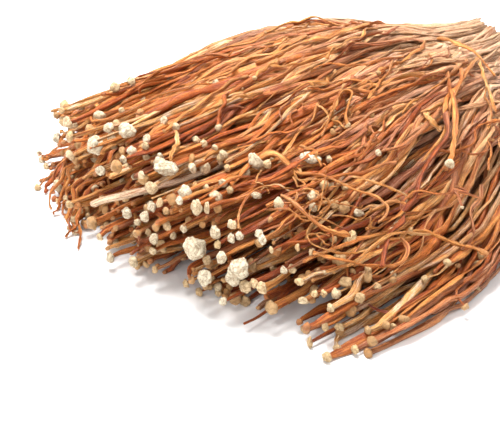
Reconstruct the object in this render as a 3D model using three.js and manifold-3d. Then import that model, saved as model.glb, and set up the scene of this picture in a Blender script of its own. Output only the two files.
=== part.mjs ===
// A bunch of dried enoki mushrooms lying on its side, as it comes off the drying rack.
//
// Nine clumps lie in two layers, with their cut feet together at +X and their stems fanning
// out towards -X. Each clump grew as one piece: its stems are stuck together from the foot
// on, part further along and end in small caps, so a clump is one solid. A few thin
// mushrooms that broke off lie loose on top, and each of those is a solid too.
//
// Millimetres, +Z up. The bunch rests on z = 0, and the origin is under its middle.
import * as THREE from "three";
import { mergeVertices } from "three/addons/utils/BufferGeometryUtils.js";
import Module from "manifold-3d";

// The fan, seen from above. A lane runs from the feet to the tips at a fixed side value,
// from -1 on the -Y side to 1 on the +Y side. Angles are degrees from -X towards +Y.
const feet = { x: 79.5, y: -5.8, halfWidth: 22 };
const tips = { x: -86.1, y: 3.2, halfWidth: 80, bow: 30, lean: 4.6 };
const leaving = { middle: -13, turn: 37, bend: 16, handle: 57 };
const arriving = { middle: -5, turn: 4, bend: 18, handle: 88 };

// The heap's height at the feet, at its crown and at the tips, with the crown's place along a lane.
// It leans: its +Y side is the higher one.
const heap = { feet: 38, crown: 48, tips: 35, crownAt: 0.35, edgeShare: 0.38, edge: 5, lean: 0.13 };
// It thins out towards its tips on the -Y side, and a little along the whole of its +Y side.
const nearThinning = { share: 0.6, from: -0.52, over: 0.36, startsAt: 0.3, growsOver: 0.4 };
const farThinning = { share: 0.165, atTips: 0.22, from: 0.15, over: 0.5, startsAt: 0.6, growsOver: 0.3 };
// The lower layer's share of that height. It rises to the whole height at the two edges.
const split = { share: 0.5, from: 0.66, over: 0.26 };
// How much lower a clump's top is at its sides than along its middle.
const crowning = 0.1;

// One row for each clump: its layer, the lanes it fills and how far along them its tips reach.
const clumps = [
  { name: "clump_lower_1", upper: false, from: -1.0, to: -0.63, reach: 0.985, color: 0xb97a4a },
  { name: "clump_lower_2", upper: false, from: -0.63, to: -0.22, reach: 0.955, color: 0xa4683c },
  { name: "clump_lower_3", upper: false, from: -0.22, to: 0.2, reach: 0.965, color: 0xa86c40 },
  { name: "clump_lower_4", upper: false, from: 0.2, to: 0.62, reach: 0.98, color: 0xad6f42 },
  { name: "clump_lower_5", upper: false, from: 0.62, to: 1.0, reach: 0.95, color: 0xb4744f },
  { name: "clump_upper_1", upper: true, from: -0.8, to: -0.42, reach: 0.9, color: 0xc08a5c },
  { name: "clump_upper_2", upper: true, from: -0.42, to: 0.0, reach: 0.94, color: 0xc28451 },
  { name: "clump_upper_3", upper: true, from: 0.0, to: 0.42, reach: 0.93, color: 0xc48250 },
  { name: "clump_upper_4", upper: true, from: 0.42, to: 0.82, reach: 0.94, color: 0xc6844e },
];

// One row for each loose mushroom: its radii, how many rings it bends at and its route, from
// the broken end to the cap, as side, along and the lift above the heap in millimetres.
const loose = [
  {
    name: "loose_mushroom_1",
    stem: 0.55,
    cap: 1.9,
    rings: 15,
    route: [
      [-0.755, 0.795, 0.4],
      [-0.75, 0.775, 0.4],
      [-0.73, 0.76, 0.4],
      [-0.69, 0.755, 0.4],
      [-0.63, 0.765, 0.4],
      [-0.53, 0.77, 0.4],
      [-0.46, 0.78, 0.4],
      [-0.38, 0.775, 0.6],
      [-0.32, 0.775, 1.2],
      [-0.29, 0.795, 0.8],
    ],
  },
  {
    name: "loose_mushroom_2",
    stem: 0.5,
    cap: 1.1,
    rings: 13,
    route: [
      [-0.36, 0.69, 0.3],
      [-0.33, 0.655, 2.5],
      [-0.31, 0.63, 5.0],
      [-0.28, 0.6, 6.5],
      [-0.31, 0.59, 6.0],
      [-0.335, 0.61, 4.0],
      [-0.355, 0.63, 2.0],
      [-0.39, 0.645, 0.4],
    ],
  },
  {
    name: "loose_mushroom_3",
    stem: 0.5,
    cap: 1.2,
    rings: 12,
    route: [
      [-0.77, 0.75, 0.4],
      [-0.815, 0.77, 0.8],
      [-0.83, 0.79, 0.6],
      [-0.81, 0.82, 0.4],
      [-0.78, 0.85, 0.4],
      [-0.735, 0.87, 0.4],
      [-0.68, 0.88, 0.4],
    ],
  },
  {
    name: "loose_mushroom_4",
    stem: 0.6,
    cap: 1.4,
    rings: 10,
    route: [
      [-0.97, 0.665, 0.6],
      [-0.93, 0.675, 0.6],
      [-0.87, 0.685, 0.6],
      [-0.82, 0.695, 0.6],
      [-0.76, 0.715, 0.8],
    ],
  },
  {
    name: "loose_mushroom_5",
    stem: 0.6,
    cap: 1.7,
    rings: 10,
    route: [
      [-0.49, 0.84, 0.4],
      [-0.57, 0.85, 0.6],
      [-0.64, 0.86, 0.8],
      [-0.69, 0.865, 1.0],
      [-0.715, 0.855, 0.6],
      [-0.735, 0.84, 0.4],
    ],
  },
  {
    name: "loose_mushroom_6",
    stem: 0.7,
    cap: 1.6,
    rings: 10,
    route: [
      [-0.4, 0.34, 0.4],
      [-0.61, 0.46, 0.8],
      [-0.7, 0.53, 1.2],
      [-0.75, 0.58, 1.4],
      [-0.785, 0.625, 0.8],
    ],
  },
];
const looseColor = 0xcf9862;

const growth = {
  stemsToAClump: 84, // as the real clump holds
  stemsBuilt: 13, // the outermost ones
  sides: 5,
  stemRings: 4,
  stemRadius: { least: 0.75, most: 1.3 },
  capRadius: { least: 1.3, most: 2.4, large: 3.9, largeShare: 0.14 },
  capHeight: 1.05, // as a share of the cap's radius
  capProfile: [
    [1, 0.1], // its rim, as shares of its radius and height
    [0.72, 0.65],
  ],
  capStretch: { least: 0.8, most: 1.35 },
  capNeck: 0.12, // where the room that a stem needs grows to its cap's
  shortest: 0.8, // the shortest stem's share of its clump's reach
  lowShare: 0.2, // how much of that shortfall the lowest stems have, beside the highest
  tipRing: 0.62, // how near the clump's middle a tip may be, where 1 is its outside
  startsAt: { least: 0.4, most: 0.46 }, // a free stem's root, sunk in the stuck ones
  sunk: { share: 0.72, over: 0.16 }, // how deep the root lies, and how fast the stem comes out
  fansFrom: 0.5, // where a stem leaves its place in the clump for its tip's place
  tipTurn: 0.8,
};
// The waves of a stem: one that a clump's stems share, and one that each has to itself.
const wave = {
  shared: 0.07,
  sharedCount: 8,
  ofClump: 2.3,
  own: 0.04,
  count: { least: 0.8, most: 2.2 },
  from: 0.3,
};
// The stuck stems are ribs round one body, one rib for each stem that parts from it.
const core = {
  valley: 0.17,
  stations: [0, 0.14, 0.27, 0.4, 0.52, 0.62, 0.7],
  sizes: [0.92, 1, 1, 1, 0.86, 0.6, 0.26],
  flatBelow: -0.6,
  flatUntil: 0.45,
};
const gap = 0.35; // between neighbouring solids
const bridging = 0.03; // how much of the heap beside it holds a loose mushroom up, as side values
const roundness = { corner: 0.75, leastShare: 0.05, leastRise: 0.2 };
const goldenAngle = Math.PI * (3 - Math.sqrt(5));

const wasm = await Module();
wasm.setup();

// A seeded draw, so that the bunch comes out the same each time.
function seeded(seed) {
  let state = seed >>> 0;
  return () => {
    state = (state + 0x6d2b79f5) >>> 0;
    let mixed = Math.imul(state ^ (state >>> 15), state | 1);
    mixed = (mixed + Math.imul(mixed ^ (mixed >>> 7), mixed | 61)) ^ mixed;
    return ((mixed ^ (mixed >>> 14)) >>> 0) / 2 ** 32;
  };
}

const mix = (a, b, t) => a + (b - a) * t;
const between = (range, t) => mix(range.least, range.most, t);
const limit = (value, least, most) => Math.min(most, Math.max(least, value));
const smooth = (t) => {
  const c = limit(t, 0, 1);
  return c * c * (3 - 2 * c);
};

// The point on the lane at this side value, a share of the way from the feet to the tips.
function lane(side, along) {
  const heading = (bend) => {
    const angle = ((bend.middle + bend.turn * side + bend.bend * side * side) * Math.PI) / 180;
    return new THREE.Vector2(-Math.cos(angle), Math.sin(angle));
  };
  const start = new THREE.Vector2(feet.x, feet.y + feet.halfWidth * side);
  const end = new THREE.Vector2(
    tips.x + tips.lean * side + tips.bow * side * side,
    tips.y + tips.halfWidth * side,
  );
  const bezier = new THREE.CubicBezierCurve(
    start,
    start.clone().addScaledVector(heading(leaving), leaving.handle),
    end.clone().addScaledVector(heading(arriving), -arriving.handle),
    end,
  );
  return bezier.getPoint(along);
}

// How many millimetres, square to the lane, one unit of side value is here.
function laneSpacing(side, along) {
  const step = 0.01;
  const across = lane(side + step, along).sub(lane(side - step, along));
  const onwards = lane(side, along + step).sub(lane(side, along - step)).normalize();
  return Math.abs(across.x * onwards.y - across.y * onwards.x) / (2 * step);
}

// The share of the heap's height that is missing here.
function thinning(side, along) {
  const grown = ({ startsAt, growsOver }) => smooth((along - startsAt) / growsOver);
  const near = nearThinning;
  const far = farThinning;
  const nearSide = near.share * smooth((near.from - side) / near.over) * grown(near);
  return nearSide + mix(far.share, far.atTips, grown(far)) * smooth((side - far.from) / far.over);
}

function heapHeight(side, along) {
  const middle =
    along < heap.crownAt
      ? mix(heap.feet, heap.crown, smooth(along / heap.crownAt))
      : mix(heap.crown, heap.tips, smooth((along - heap.crownAt) / (1 - heap.crownAt)));
  const shoulder = Math.sqrt(Math.max(0, 1 - Math.abs(side) ** heap.edge));
  const full = middle * mix(heap.edgeShare, 1, shoulder) * (1 + heap.lean * side);
  return full * (1 - thinning(side, along));
}

function splitHeight(side, along) {
  const rise = smooth((Math.abs(side) - split.from) / split.over);
  return heapHeight(side, along) * mix(split.share, 1, rise);
}

// A point inside a clump. Across and up run from -1 to 1, and keep is the distance that the
// point keeps from the clump's own bounds, so that neighbouring clumps stay clear.
function insideClump(clump, across, up, along, keep) {
  const half = (clump.to - clump.from) / 2;
  const middle = (clump.to + clump.from) / 2;
  const room = half * laneSpacing(middle + across * half, along);
  const side = middle + across * Math.max(roundness.leastShare, 1 - (keep + gap / 2) / room) * half;
  const low = clump.upper ? splitHeight(side, along) + gap / 2 : 0;
  const top = clump.upper ? heapHeight(side, along) : splitHeight(side, along) - gap / 2;
  const high = clump.upper ? top * (1 - crowning * across * across) : top;
  const point = lane(side, along);
  const rise = Math.max(roundness.leastRise, (high - low) / 2 - keep);
  return new THREE.Vector3(point.x, point.y, Math.max((low + high) / 2 + up * rise, keep));
}

// A rounded square, so that the stems fill their clump into its corners.
function squared(angle, radius) {
  const corner = (value) => Math.sign(value) * Math.abs(value) ** roundness.corner;
  return [radius * corner(Math.cos(angle)), radius * corner(Math.sin(angle))];
}

// How far a clump's stems swing together, across and up.
function sharedWave(clump, along) {
  const grown = wave.shared * smooth(along / wave.from);
  return [1, 2].map((k) => grown * Math.sin(wave.sharedCount * along + wave.ofClump * clump.from * k));
}

// What one mushroom of a clump is like: the first ones grow at the outside.
function mushroomPlan(clumpIndex, index) {
  const clump = clumps[clumpIndex];
  const draw = seeded(1000 * (clumpIndex + 1) + index);
  const ring = Math.sqrt(1 - (index + 0.5) / growth.stemsToAClump);
  const angle = index * goldenAngle;
  const tipAngle = angle + growth.tipTurn * (draw() - 0.5);
  const tipRing = mix(growth.tipRing, 1, draw());
  const raised = mix(growth.lowShare, 1, (1 + tipRing * Math.sin(tipAngle)) / 2);
  const length = clump.reach * (1 - (1 - growth.shortest) * raised * (1 - Math.sqrt(draw())));
  const stem = between(growth.stemRadius, draw());
  const large = draw() < growth.capRadius.largeShare;
  const size = draw();
  const { least, most, large: largest } = growth.capRadius;
  const cap = large ? mix(most, largest, size) : mix(least, most, size);
  const stretch = between(growth.capStretch, draw());
  const start = between(growth.startsAt, draw());
  const waves = [0, 1].map(() => ({
    size: wave.own * draw(),
    count: between(wave.count, draw()),
    phase: 2 * Math.PI * draw(),
  }));
  return { ring, angle, tipRing, tipAngle, length, stem, cap, stretch, start, waves };
}

// The middle line of a mushroom, a share of the way along the heap.
function mushroomPoint(clump, plan, along) {
  const out = mix(growth.sunk.share, 1, smooth((along - growth.startsAt.least) / growth.sunk.over));
  const fan = smooth((along - growth.fansFrom) / (plan.length - growth.fansFrom));
  const here = squared(plan.angle, plan.ring * out);
  const there = squared(plan.tipAngle, plan.tipRing);
  const room = 1 - wave.shared - wave.own;
  const swing = sharedWave(clump, along);
  const [across, up] = plan.waves.map((own, k) => {
    const alone = own.size * Math.sin(2 * Math.PI * own.count * along + own.phase);
    return limit(mix(here[k], there[k], fan) * room + swing[k] + alone, -1, 1);
  });
  const keep = mix(plan.stem, plan.cap, smooth((along - plan.length) / growth.capNeck + 1));
  return insideClump(clump, across, up, along, keep);
}

// A lathe turned as a mushroom and laid along a line: a slim stem that ends in a domed cap.
function mushroomGeometry(pointAt, from, to, plan, rings) {
  const last = rings - 1;
  const geometry = new THREE.LatheGeometry(
    [
      new THREE.Vector2(0, 0),
      ...Array.from({ length: rings }, (_, i) => new THREE.Vector2(plan.stem, i)),
      ...growth.capProfile.map(([radius, height]) => new THREE.Vector2(plan.cap * radius, last + height)),
      new THREE.Vector2(0, rings),
    ],
    growth.sides,
  );
  const position = geometry.getAttribute("position");
  const up = new THREE.Vector3(0, 0, 1);
  const step = (to - from) / (4 * last);
  for (let i = 0; i < position.count; i++) {
    const ring = Math.min(position.getY(i), last);
    const beyond = position.getY(i) - ring;
    const along = mix(from, to, ring / last);
    const onwards = pointAt(along + step)
      .sub(pointAt(along - step))
      .normalize();
    const sideways = new THREE.Vector3().crossVectors(onwards, up).normalize();
    const upwards = new THREE.Vector3().crossVectors(sideways, onwards);
    const stretch = beyond > 0 ? plan.stretch : 1;
    const point = pointAt(along)
      .addScaledVector(onwards, beyond * plan.cap * growth.capHeight)
      .addScaledVector(sideways, position.getX(i) * stretch)
      .addScaledVector(upwards, position.getZ(i) / stretch);
    position.setXYZ(i, point.x, point.y, Math.max(0, point.z));
  }
  return geometry;
}

// The stuck part of a clump, from the cut foot to where its stems part.
function coreGeometry(clump, plans) {
  const turn = 2 * Math.PI;
  const angles = plans.map((plan) => plan.angle % turn).sort((a, b) => a - b);
  const corners = angles.flatMap((angle, i) => {
    const next = i + 1 < angles.length ? angles[i + 1] : angles[0] + turn;
    return [
      { angle, size: 1 },
      { angle: (angle + next) / 2, size: 1 - core.valley },
    ];
  });
  const last = core.sizes.length - 1;
  const profile = [
    new THREE.Vector2(0, 0),
    ...core.sizes.map((_, i) => new THREE.Vector2(1, i)),
    new THREE.Vector2(0, last),
  ];
  const geometry = new THREE.LatheGeometry(profile, corners.length);
  const position = geometry.getAttribute("position");
  const room = 1 - wave.shared - wave.own;
  for (let i = 0; i < position.count; i++) {
    const station = Math.round(position.getY(i));
    const along = core.stations[station] * clump.reach;
    const onAxis = Math.hypot(position.getX(i), position.getZ(i)) < 0.5;
    const share = Math.atan2(position.getX(i), position.getZ(i)) / turn;
    const corner = corners[Math.round((1 - share) * corners.length) % corners.length];
    const size = onAxis ? 0 : core.sizes[station] * corner.size;
    const flat = squared(corner.angle, size);
    const swing = sharedWave(clump, along);
    const [across, up] = flat.map((value, k) => value * room + swing[k]);
    const place = insideClump(clump, across, up, along, gap);
    const onFloor = !clump.upper && !onAxis && flat[1] < core.flatBelow * size && along < core.flatUntil;
    position.setXYZ(i, place.x, place.y, onFloor ? 0 : place.z);
  }
  return geometry;
}

function solidOf(geometry) {
  const bare = geometry.clone();
  bare.deleteAttribute("normal");
  bare.deleteAttribute("uv");
  const merged = mergeVertices(bare, 1e-3);
  const mesh = new wasm.Mesh({
    numProp: 3,
    vertProperties: merged.getAttribute("position").array,
    triVerts: new Uint32Array(merged.index.array),
  });
  return new wasm.Manifold(mesh);
}

function geometryOf(solid) {
  const made = solid.getMesh();
  return new THREE.BufferGeometry()
    .setAttribute("position", new THREE.BufferAttribute(Float32Array.from(made.vertProperties), 3))
    .setIndex(new THREE.BufferAttribute(made.triVerts, 1));
}

// Joins what grew together. Sealed hollows are filled and loose scraps dropped, and a second
// pass does the same for those that show only once near points are merged.
function fused(solids) {
  const largest = (solid) => solid.decompose().sort((a, b) => b.volume() - a.volume())[0];
  const joined = largest(wasm.Manifold.union(solids));
  return largest(solidOf(geometryOf(joined)));
}

function namedMesh(name, geometry, color) {
  geometry.computeVertexNormals();
  const material = new THREE.MeshStandardMaterial({ color, roughness: 0.7, metalness: 0 });
  const mesh = new THREE.Mesh(geometry, material);
  mesh.name = name;
  return mesh;
}

function clumpMesh(clump, clumpIndex) {
  const plans = Array.from({ length: growth.stemsBuilt }, (_, index) => mushroomPlan(clumpIndex, index));
  const stems = plans.map((plan) => {
    const pointAt = (along) => mushroomPoint(clump, plan, along);
    return solidOf(mushroomGeometry(pointAt, plan.start, plan.length, plan, growth.stemRings));
  });
  const grown = fused([solidOf(coreGeometry(clump, plans)), ...stems]);
  return namedMesh(clump.name, geometryOf(grown), clump.color);
}

// The top of the heap at one place: an upper clump's, or the lower layer's beside them.
function topOfHeap(side, along) {
  const heights = clumps
    .filter((clump) => side >= clump.from && side <= clump.to)
    .map((clump) => {
      if (!clump.upper) return splitHeight(side, along);
      const across = (2 * side - clump.from - clump.to) / (clump.to - clump.from);
      return heapHeight(side, along) * (1 - crowning * across * across);
    });
  return Math.max(...heights);
}

// A broken-off mushroom, which lies along its route over the clumps.
function looseMesh(mushroom) {
  const route = new THREE.CatmullRomCurve3(mushroom.route.map((stop) => new THREE.Vector3(...stop)));
  const pointAt = (share) => {
    const { x: side, y: along, z: lift } = route.getPoint(limit(share, 0, 1));
    const radius = mix(mushroom.stem, mushroom.cap, smooth((share - 1) / growth.capNeck + 1));
    const tops = [-bridging, 0, bridging].map((step) => topOfHeap(side + step, along));
    const point = lane(side, along);
    return new THREE.Vector3(point.x, point.y, Math.max(...tops) + gap + radius + lift);
  };
  const plan = { stem: mushroom.stem, cap: mushroom.cap, stretch: 1 };
  const solid = solidOf(mushroomGeometry(pointAt, 0, 1, plan, mushroom.rings));
  return namedMesh(mushroom.name, geometryOf(solid), looseColor);
}

const bunch = new THREE.Group();
bunch.name = "enoki_bunch";
clumps.forEach((clump, index) => bunch.add(clumpMesh(clump, index)));
loose.forEach((mushroom) => bunch.add(looseMesh(mushroom)));

export default bunch;
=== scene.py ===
import math

import bmesh
import bpy
import numpy as np
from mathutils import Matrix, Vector, noise


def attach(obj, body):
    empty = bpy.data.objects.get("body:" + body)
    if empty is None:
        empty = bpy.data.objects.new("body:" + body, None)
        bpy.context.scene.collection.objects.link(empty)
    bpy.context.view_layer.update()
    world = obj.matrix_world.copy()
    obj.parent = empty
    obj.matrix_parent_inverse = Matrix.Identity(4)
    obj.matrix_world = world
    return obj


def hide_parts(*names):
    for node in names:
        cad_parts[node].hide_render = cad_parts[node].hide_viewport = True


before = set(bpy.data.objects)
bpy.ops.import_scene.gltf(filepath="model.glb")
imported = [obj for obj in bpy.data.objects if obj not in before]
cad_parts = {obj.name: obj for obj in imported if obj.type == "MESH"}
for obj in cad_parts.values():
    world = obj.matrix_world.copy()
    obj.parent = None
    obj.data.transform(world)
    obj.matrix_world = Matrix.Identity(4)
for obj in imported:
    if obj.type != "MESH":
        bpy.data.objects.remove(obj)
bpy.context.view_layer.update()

mm = 0.001
goldenAngle = math.pi * (3 - math.sqrt(5))
draw = np.random.default_rng(11)

# The fan that the clumps fill, in millimetres: side from -1 to 1, and a share along from feet to tips.
fan = {
    "feet": {"x": 79.5, "y": -5.8, "halfWidth": 22},
    "tips": {"x": -86.1, "y": 3.2, "halfWidth": 80, "bow": 30, "lean": 4.6},
    "leaving": (-13, 37, 16, 57),  # degrees at the middle, their turn and bend over the side, and the handle
    "arriving": (-5, 4, 18, 88),
    "feetHeight": 38,
    "crownHeight": 48,
    "tipsHeight": 35,
    "crownAt": 0.35,
    "edgeShare": 0.38,
    "edge": 5,
    "lean": 0.13,
    "splitShare": 0.5,
    "splitFrom": 0.66,
    "splitOver": 0.26,
    "nearThinning": {"share": 0.6, "from": -0.52, "over": 0.36, "startsAt": 0.3, "growsOver": 0.4},
    "farThinning": {"share": 0.165, "atTips": 0.22, "from": 0.15, "over": 0.5,
                    "startsAt": 0.6, "growsOver": 0.3},
}

clumps = [  # node, in the upper layer, first and last side value, reach
    ("clump_lower_1", False, -1.0, -0.63, 0.985),
    ("clump_lower_2", False, -0.63, -0.22, 0.955),
    ("clump_lower_3", False, -0.22, 0.2, 0.965),
    ("clump_lower_4", False, 0.2, 0.62, 0.98),
    ("clump_lower_5", False, 0.62, 1.0, 0.95),
    ("clump_upper_1", True, -0.8, -0.42, 0.9),
    ("clump_upper_2", True, -0.42, 0.0, 0.94),
    ("clump_upper_3", True, 0.0, 0.42, 0.93),
    ("clump_upper_4", True, 0.42, 0.82, 0.94),
]


def mix(a, b, t):
    return a + (b - a) * t


def smooth(t):
    c = np.clip(t, 0, 1)
    return c * c * (3 - 2 * c)


# x and y on the lane of this side value, a curve with a handle at each end.
def lane(side, along):
    side, along = np.broadcast_arrays(np.asarray(side, float), np.asarray(along, float))

    def heading(bend):
        angle = np.radians(bend[0] + bend[1] * side + bend[2] * side**2)
        return np.stack([-np.cos(angle), np.sin(angle)], -1) * bend[3]

    feet, tips = fan["feet"], fan["tips"]
    start = np.stack([np.full_like(side, feet["x"]), feet["y"] + feet["halfWidth"] * side], -1)
    end = np.stack(
        [tips["x"] + tips["lean"] * side + tips["bow"] * side**2, tips["y"] + tips["halfWidth"] * side], -1
    )
    t = along[..., None]
    return (
        (1 - t) ** 3 * start
        + 3 * (1 - t) ** 2 * t * (start + heading(fan["leaving"]))
        + 3 * (1 - t) * t**2 * (end - heading(fan["arriving"]))
        + t**3 * end
    )


# How many millimetres across the heap one unit of side takes.
def laneSpacing(side, along):
    step = 0.01
    across = lane(side + step, along) - lane(side - step, along)
    onwards = lane(side, along + step) - lane(side, along - step)
    onwards /= np.linalg.norm(onwards, axis=-1, keepdims=True)
    return np.abs(across[..., 0] * onwards[..., 1] - across[..., 1] * onwards[..., 0]) / (2 * step)


# The share of the heap's height that is missing, towards its near tips and along its far side.
def thinning(side, along):
    near, far = fan["nearThinning"], fan["farThinning"]
    nearGrown, farGrown = (smooth((along - edge["startsAt"]) / edge["growsOver"]) for edge in (near, far))
    nearSide = near["share"] * smooth((near["from"] - side) / near["over"]) * nearGrown
    return nearSide + mix(far["share"], far["atTips"], farGrown) * smooth((side - far["from"]) / far["over"])


def heapHeight(side, along):
    crownAt = fan["crownAt"]
    rising = mix(fan["feetHeight"], fan["crownHeight"], smooth(along / crownAt))
    falling = mix(fan["crownHeight"], fan["tipsHeight"], smooth((along - crownAt) / (1 - crownAt)))
    shoulder = np.sqrt(np.maximum(0, 1 - np.abs(side) ** fan["edge"]))
    middle = np.where(along < crownAt, rising, falling)
    full = middle * mix(fan["edgeShare"], 1, shoulder) * (1 + fan["lean"] * side)
    return full * (1 - thinning(side, along))


# Where the upper clumps lie on the lower ones.
def splitHeight(side, along):
    rise = smooth((np.abs(side) - fan["splitFrom"]) / fan["splitOver"])
    return heapHeight(side, along) * mix(fan["splitShare"], 1, rise)


# The heap's real top dips under the even one between clumps and where stems are missing.
uneven = {
    "share": 0.985,  # of the even top
    "depth": 3.0,
    "grownAt": 0.3,
    "waves": [(9.3, 6.1, 0.7, 1), (-6.7, 12.3, 2.1, 1), (17.1, -4.7, 4.0, 0.8)],
    "wavesTogether": 2.8,
}


def heapTop(side, along):
    dips = sum(
        size * np.sin(overSide * side + overAlong * along + start)
        for overSide, overAlong, start, size in uneven["waves"]
    )
    low = uneven["depth"] * smooth(along / uneven["grownAt"]) * (1 + dips / uneven["wavesTogether"]) / 2
    return heapHeight(side, along) * uneven["share"] - low


view = {  # the main view, which places the caps and strands that stand out
    "azimuth": -42,
    "elevation": 31,
    "distance": 565,
    "target": (-22.8, 1.3, 0.0),
    "lens": 129.6,
    "sensor": 36,
    "pixels": (500, 434),
}
azimuth, elevation = math.radians(view["azimuth"]), math.radians(view["elevation"])
towards = np.array(
    [math.sin(azimuth) * math.cos(elevation), -math.cos(azimuth) * math.cos(elevation), math.sin(elevation)]
)
rightwards = np.array([math.cos(azimuth), math.sin(azimuth), 0])
upwards = np.cross(towards, rightwards)
pixel = view["distance"] * view["sensor"] / view["lens"] / view["pixels"][0]  # its size on the object


# Pixels across and down in the main view, and the distance from the camera.
def inView(places):
    wide, high = view["pixels"]
    away = places - np.array(view["target"]) - towards * view["distance"]
    depth = -(away @ towards)
    scale = wide * view["lens"] / view["sensor"] / depth
    return wide / 2 + scale * (away @ rightwards), high / 2 - scale * (away @ upwards), depth


# A close grid over the heap's top, its face of tips and the ground before it, to find what shows at a pixel.
cover = {
    "sides": (-0.97, 0.97, 389),
    "step": 0.0025,
    "top": (0.2, 0.93),
    "overTop": 0.5,
    "face": 0.955,
    "faceSteps": 101,
    "faceLean": (0.06, 1.5),
    "faceShare": 0.97,
    "lowest": 1.2,
    "groundTo": 0.985,
    "overGround": 1.3,
    "nearby": 4,
    "margin": 3,
    "asidePenalty": 0.4,
}


# Side, along and place of each point of the grid, and how many of them are on the top.
def heapCover():
    sides = np.linspace(*cover["sides"])
    top = list(np.meshgrid(sides, np.arange(*cover["top"], cover["step"])))
    top.append(heapTop(*top) + cover["overTop"])
    faceSides, up = np.meshgrid(sides, np.linspace(0, 1, cover["faceSteps"]))
    lean, power = cover["faceLean"]
    faceAlong = cover["face"] * (1 - lean * up**power)
    faceHeight = up * heapTop(faceSides, faceAlong) * cover["faceShare"]
    face = [faceSides, faceAlong, np.maximum(faceHeight, cover["lowest"])]
    ground = list(np.meshgrid(sides, np.arange(cover["face"], cover["groundTo"], cover["step"])))
    ground.append(np.full(ground[0].shape, cover["overGround"]))
    grids = (top, face, ground)
    side, along, height = (np.concatenate([grid[k].ravel() for grid in grids]) for k in range(3))
    places = np.concatenate([lane(side, along), height[:, None]], 1)
    return side, along, places, top[0].size


coverSide, coverAlong, coverPlaces, topCount = heapCover()


# Side, along and height where the heap shows at this pixel, or where its top does when it is lifted.
def fromView(across, down, lift=None):
    places = coverPlaces if lift is None else coverPlaces[:topCount] + (0, 0, lift)
    acrossAll, downAll, depth = inView(places)
    away = (acrossAll - across) ** 2 + (downAll - down) ** 2
    near = away < max(cover["nearby"], away.min() + cover["margin"])
    k = int(np.argmin(np.where(near, depth + cover["asidePenalty"] * away, np.inf)))
    return float(coverSide[k]), float(coverAlong[k]), float(places[k, 2])


growth = {
    "stemsToAClump": 84,
    "builtBefore": 13,  # how many of each clump the frame has
    "draws": 14,  # for each mushroom, from a seed of its own
    "seedStep": 1000,
    "stem": (0.75, 1.3),
    "thinStem": (0.5, 1.1),
    "cap": (1.3, 2.4, 3.9),
    "largeShare": 0.14,
    "shortest": 0.8,
    "lowShare": 0.2,
    "tipRing": 0.62,
    "tipTurn": 0.8,
    "fansFrom": 0.5,
    "sharedWave": 0.07,
    "sharedCount": 8,
    "ofClump": 2.3,
    "ownWave": 0.04,
    "waveCount": (0.8, 2.2),
    "waveFrom": 0.3,
    "corner": 0.75,
    "mingle": 1.04,
    "drift": (0.8, 5.0),
    "lift": (0.3, 2.6),
    "driftTurns": (0.6, 2.2),
    "grownAt": 0.3,
    "upperSinks": 0.8,  # the share of its height that the upper layer has at the feet
    "sideLimit": 0.96,
    "shortShare": 0.34,
    "short": (0.66, 0.97),
    "stations": 48,
}
# Thin ones more, on the outside of these clumps.
topping = {
    "counts": {0: 10, 4: 16, 5: 34, 6: 38, 7: 38, 8: 34},
    "stem": (0.38, 0.8),
    "angles": (0.06, 0.88),  # of half a turn: the first, and how much they take up
    "angleStep": 0.618,
    "ring": 0.86,
    "moreShort": 0.3,
    "drift": 1.7,
}
# The outermost clump on the near side thins out towards its tips.
thinClump = {"index": 0, "share": 0.7, "ends": (0.5, 0.88), "power": 0.7}


# A small seeded generator that gives the same draws in any language.
def seededDraws(seed, count):
    state, draws = seed & 0xFFFFFFFF, []
    for _ in range(count):
        state = (state + 0x6D2B79F5) & 0xFFFFFFFF
        mixed = ((state ^ (state >> 15)) * (state | 1)) & 0xFFFFFFFF
        mixed = ((mixed + ((mixed ^ (mixed >> 7)) * (mixed | 61))) & 0xFFFFFFFF) ^ mixed
        draws.append(((mixed ^ (mixed >> 14)) & 0xFFFFFFFF) / 2**32)
    return draws


# One mushroom of a clump. The first ones grow at its outside, where the frame has them too.
def planMushroom(clumpIndex, index):
    _, upper, first, last, reach = clumps[clumpIndex]
    d = seededDraws(growth["seedStep"] * (clumpIndex + 1) + index, growth["draws"])
    built, onTop = index < growth["builtBefore"], index >= growth["stemsToAClump"]
    firstAngle, angles = topping["angles"]
    spread = math.pi * (firstAngle + angles * (index * topping["angleStep"] % 1))
    angle = spread if onTop else index * goldenAngle
    tipAngle = angle + growth["tipTurn"] * (d[0] - 0.5)
    tipRing = mix(growth["tipRing"], 1, d[1]) if built else math.sqrt(d[1])
    raised = mix(growth["lowShare"], 1, (1 + tipRing * math.sin(tipAngle)) / 2)
    inside = math.sqrt(max(0, 1 - (index + 0.5) / growth["stemsToAClump"]))
    stem = topping["stem"] if onTop else growth["stem"] if built else growth["thinStem"]
    least, most, largest = growth["cap"]
    large = d[4] < growth["largeShare"]
    return {
        "clump": clumpIndex,
        "built": built,
        "upper": upper,
        "first": first,
        "last": last,
        "ring": mix(topping["ring"], 1, d[7]) if onTop else inside,
        "onTop": onTop,
        "angle": angle,
        "tipAngle": tipAngle,
        "tipRing": tipRing,
        "length": reach * (1 - (1 - growth["shortest"]) * raised * (1 - math.sqrt(d[2]))),
        "stem": mix(*stem, d[3]),
        "cap": mix(most, largest, d[5]) if large else mix(least, most, d[5]),
        "waves": [
            (growth["ownWave"] * d[k], mix(*growth["waveCount"], d[k + 1]), 2 * math.pi * d[k + 2])
            for k in (8, 11)
        ],
    }


rows = [
    planMushroom(clumpIndex, index)
    for clumpIndex in range(len(clumps))
    for index in range(growth["stemsToAClump"] + topping["counts"].get(clumpIndex, 0))
]
plan = {key: np.array([row[key] for row in rows]) for key in rows[0]}
count = len(rows)
inner = ~plan["built"]
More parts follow.
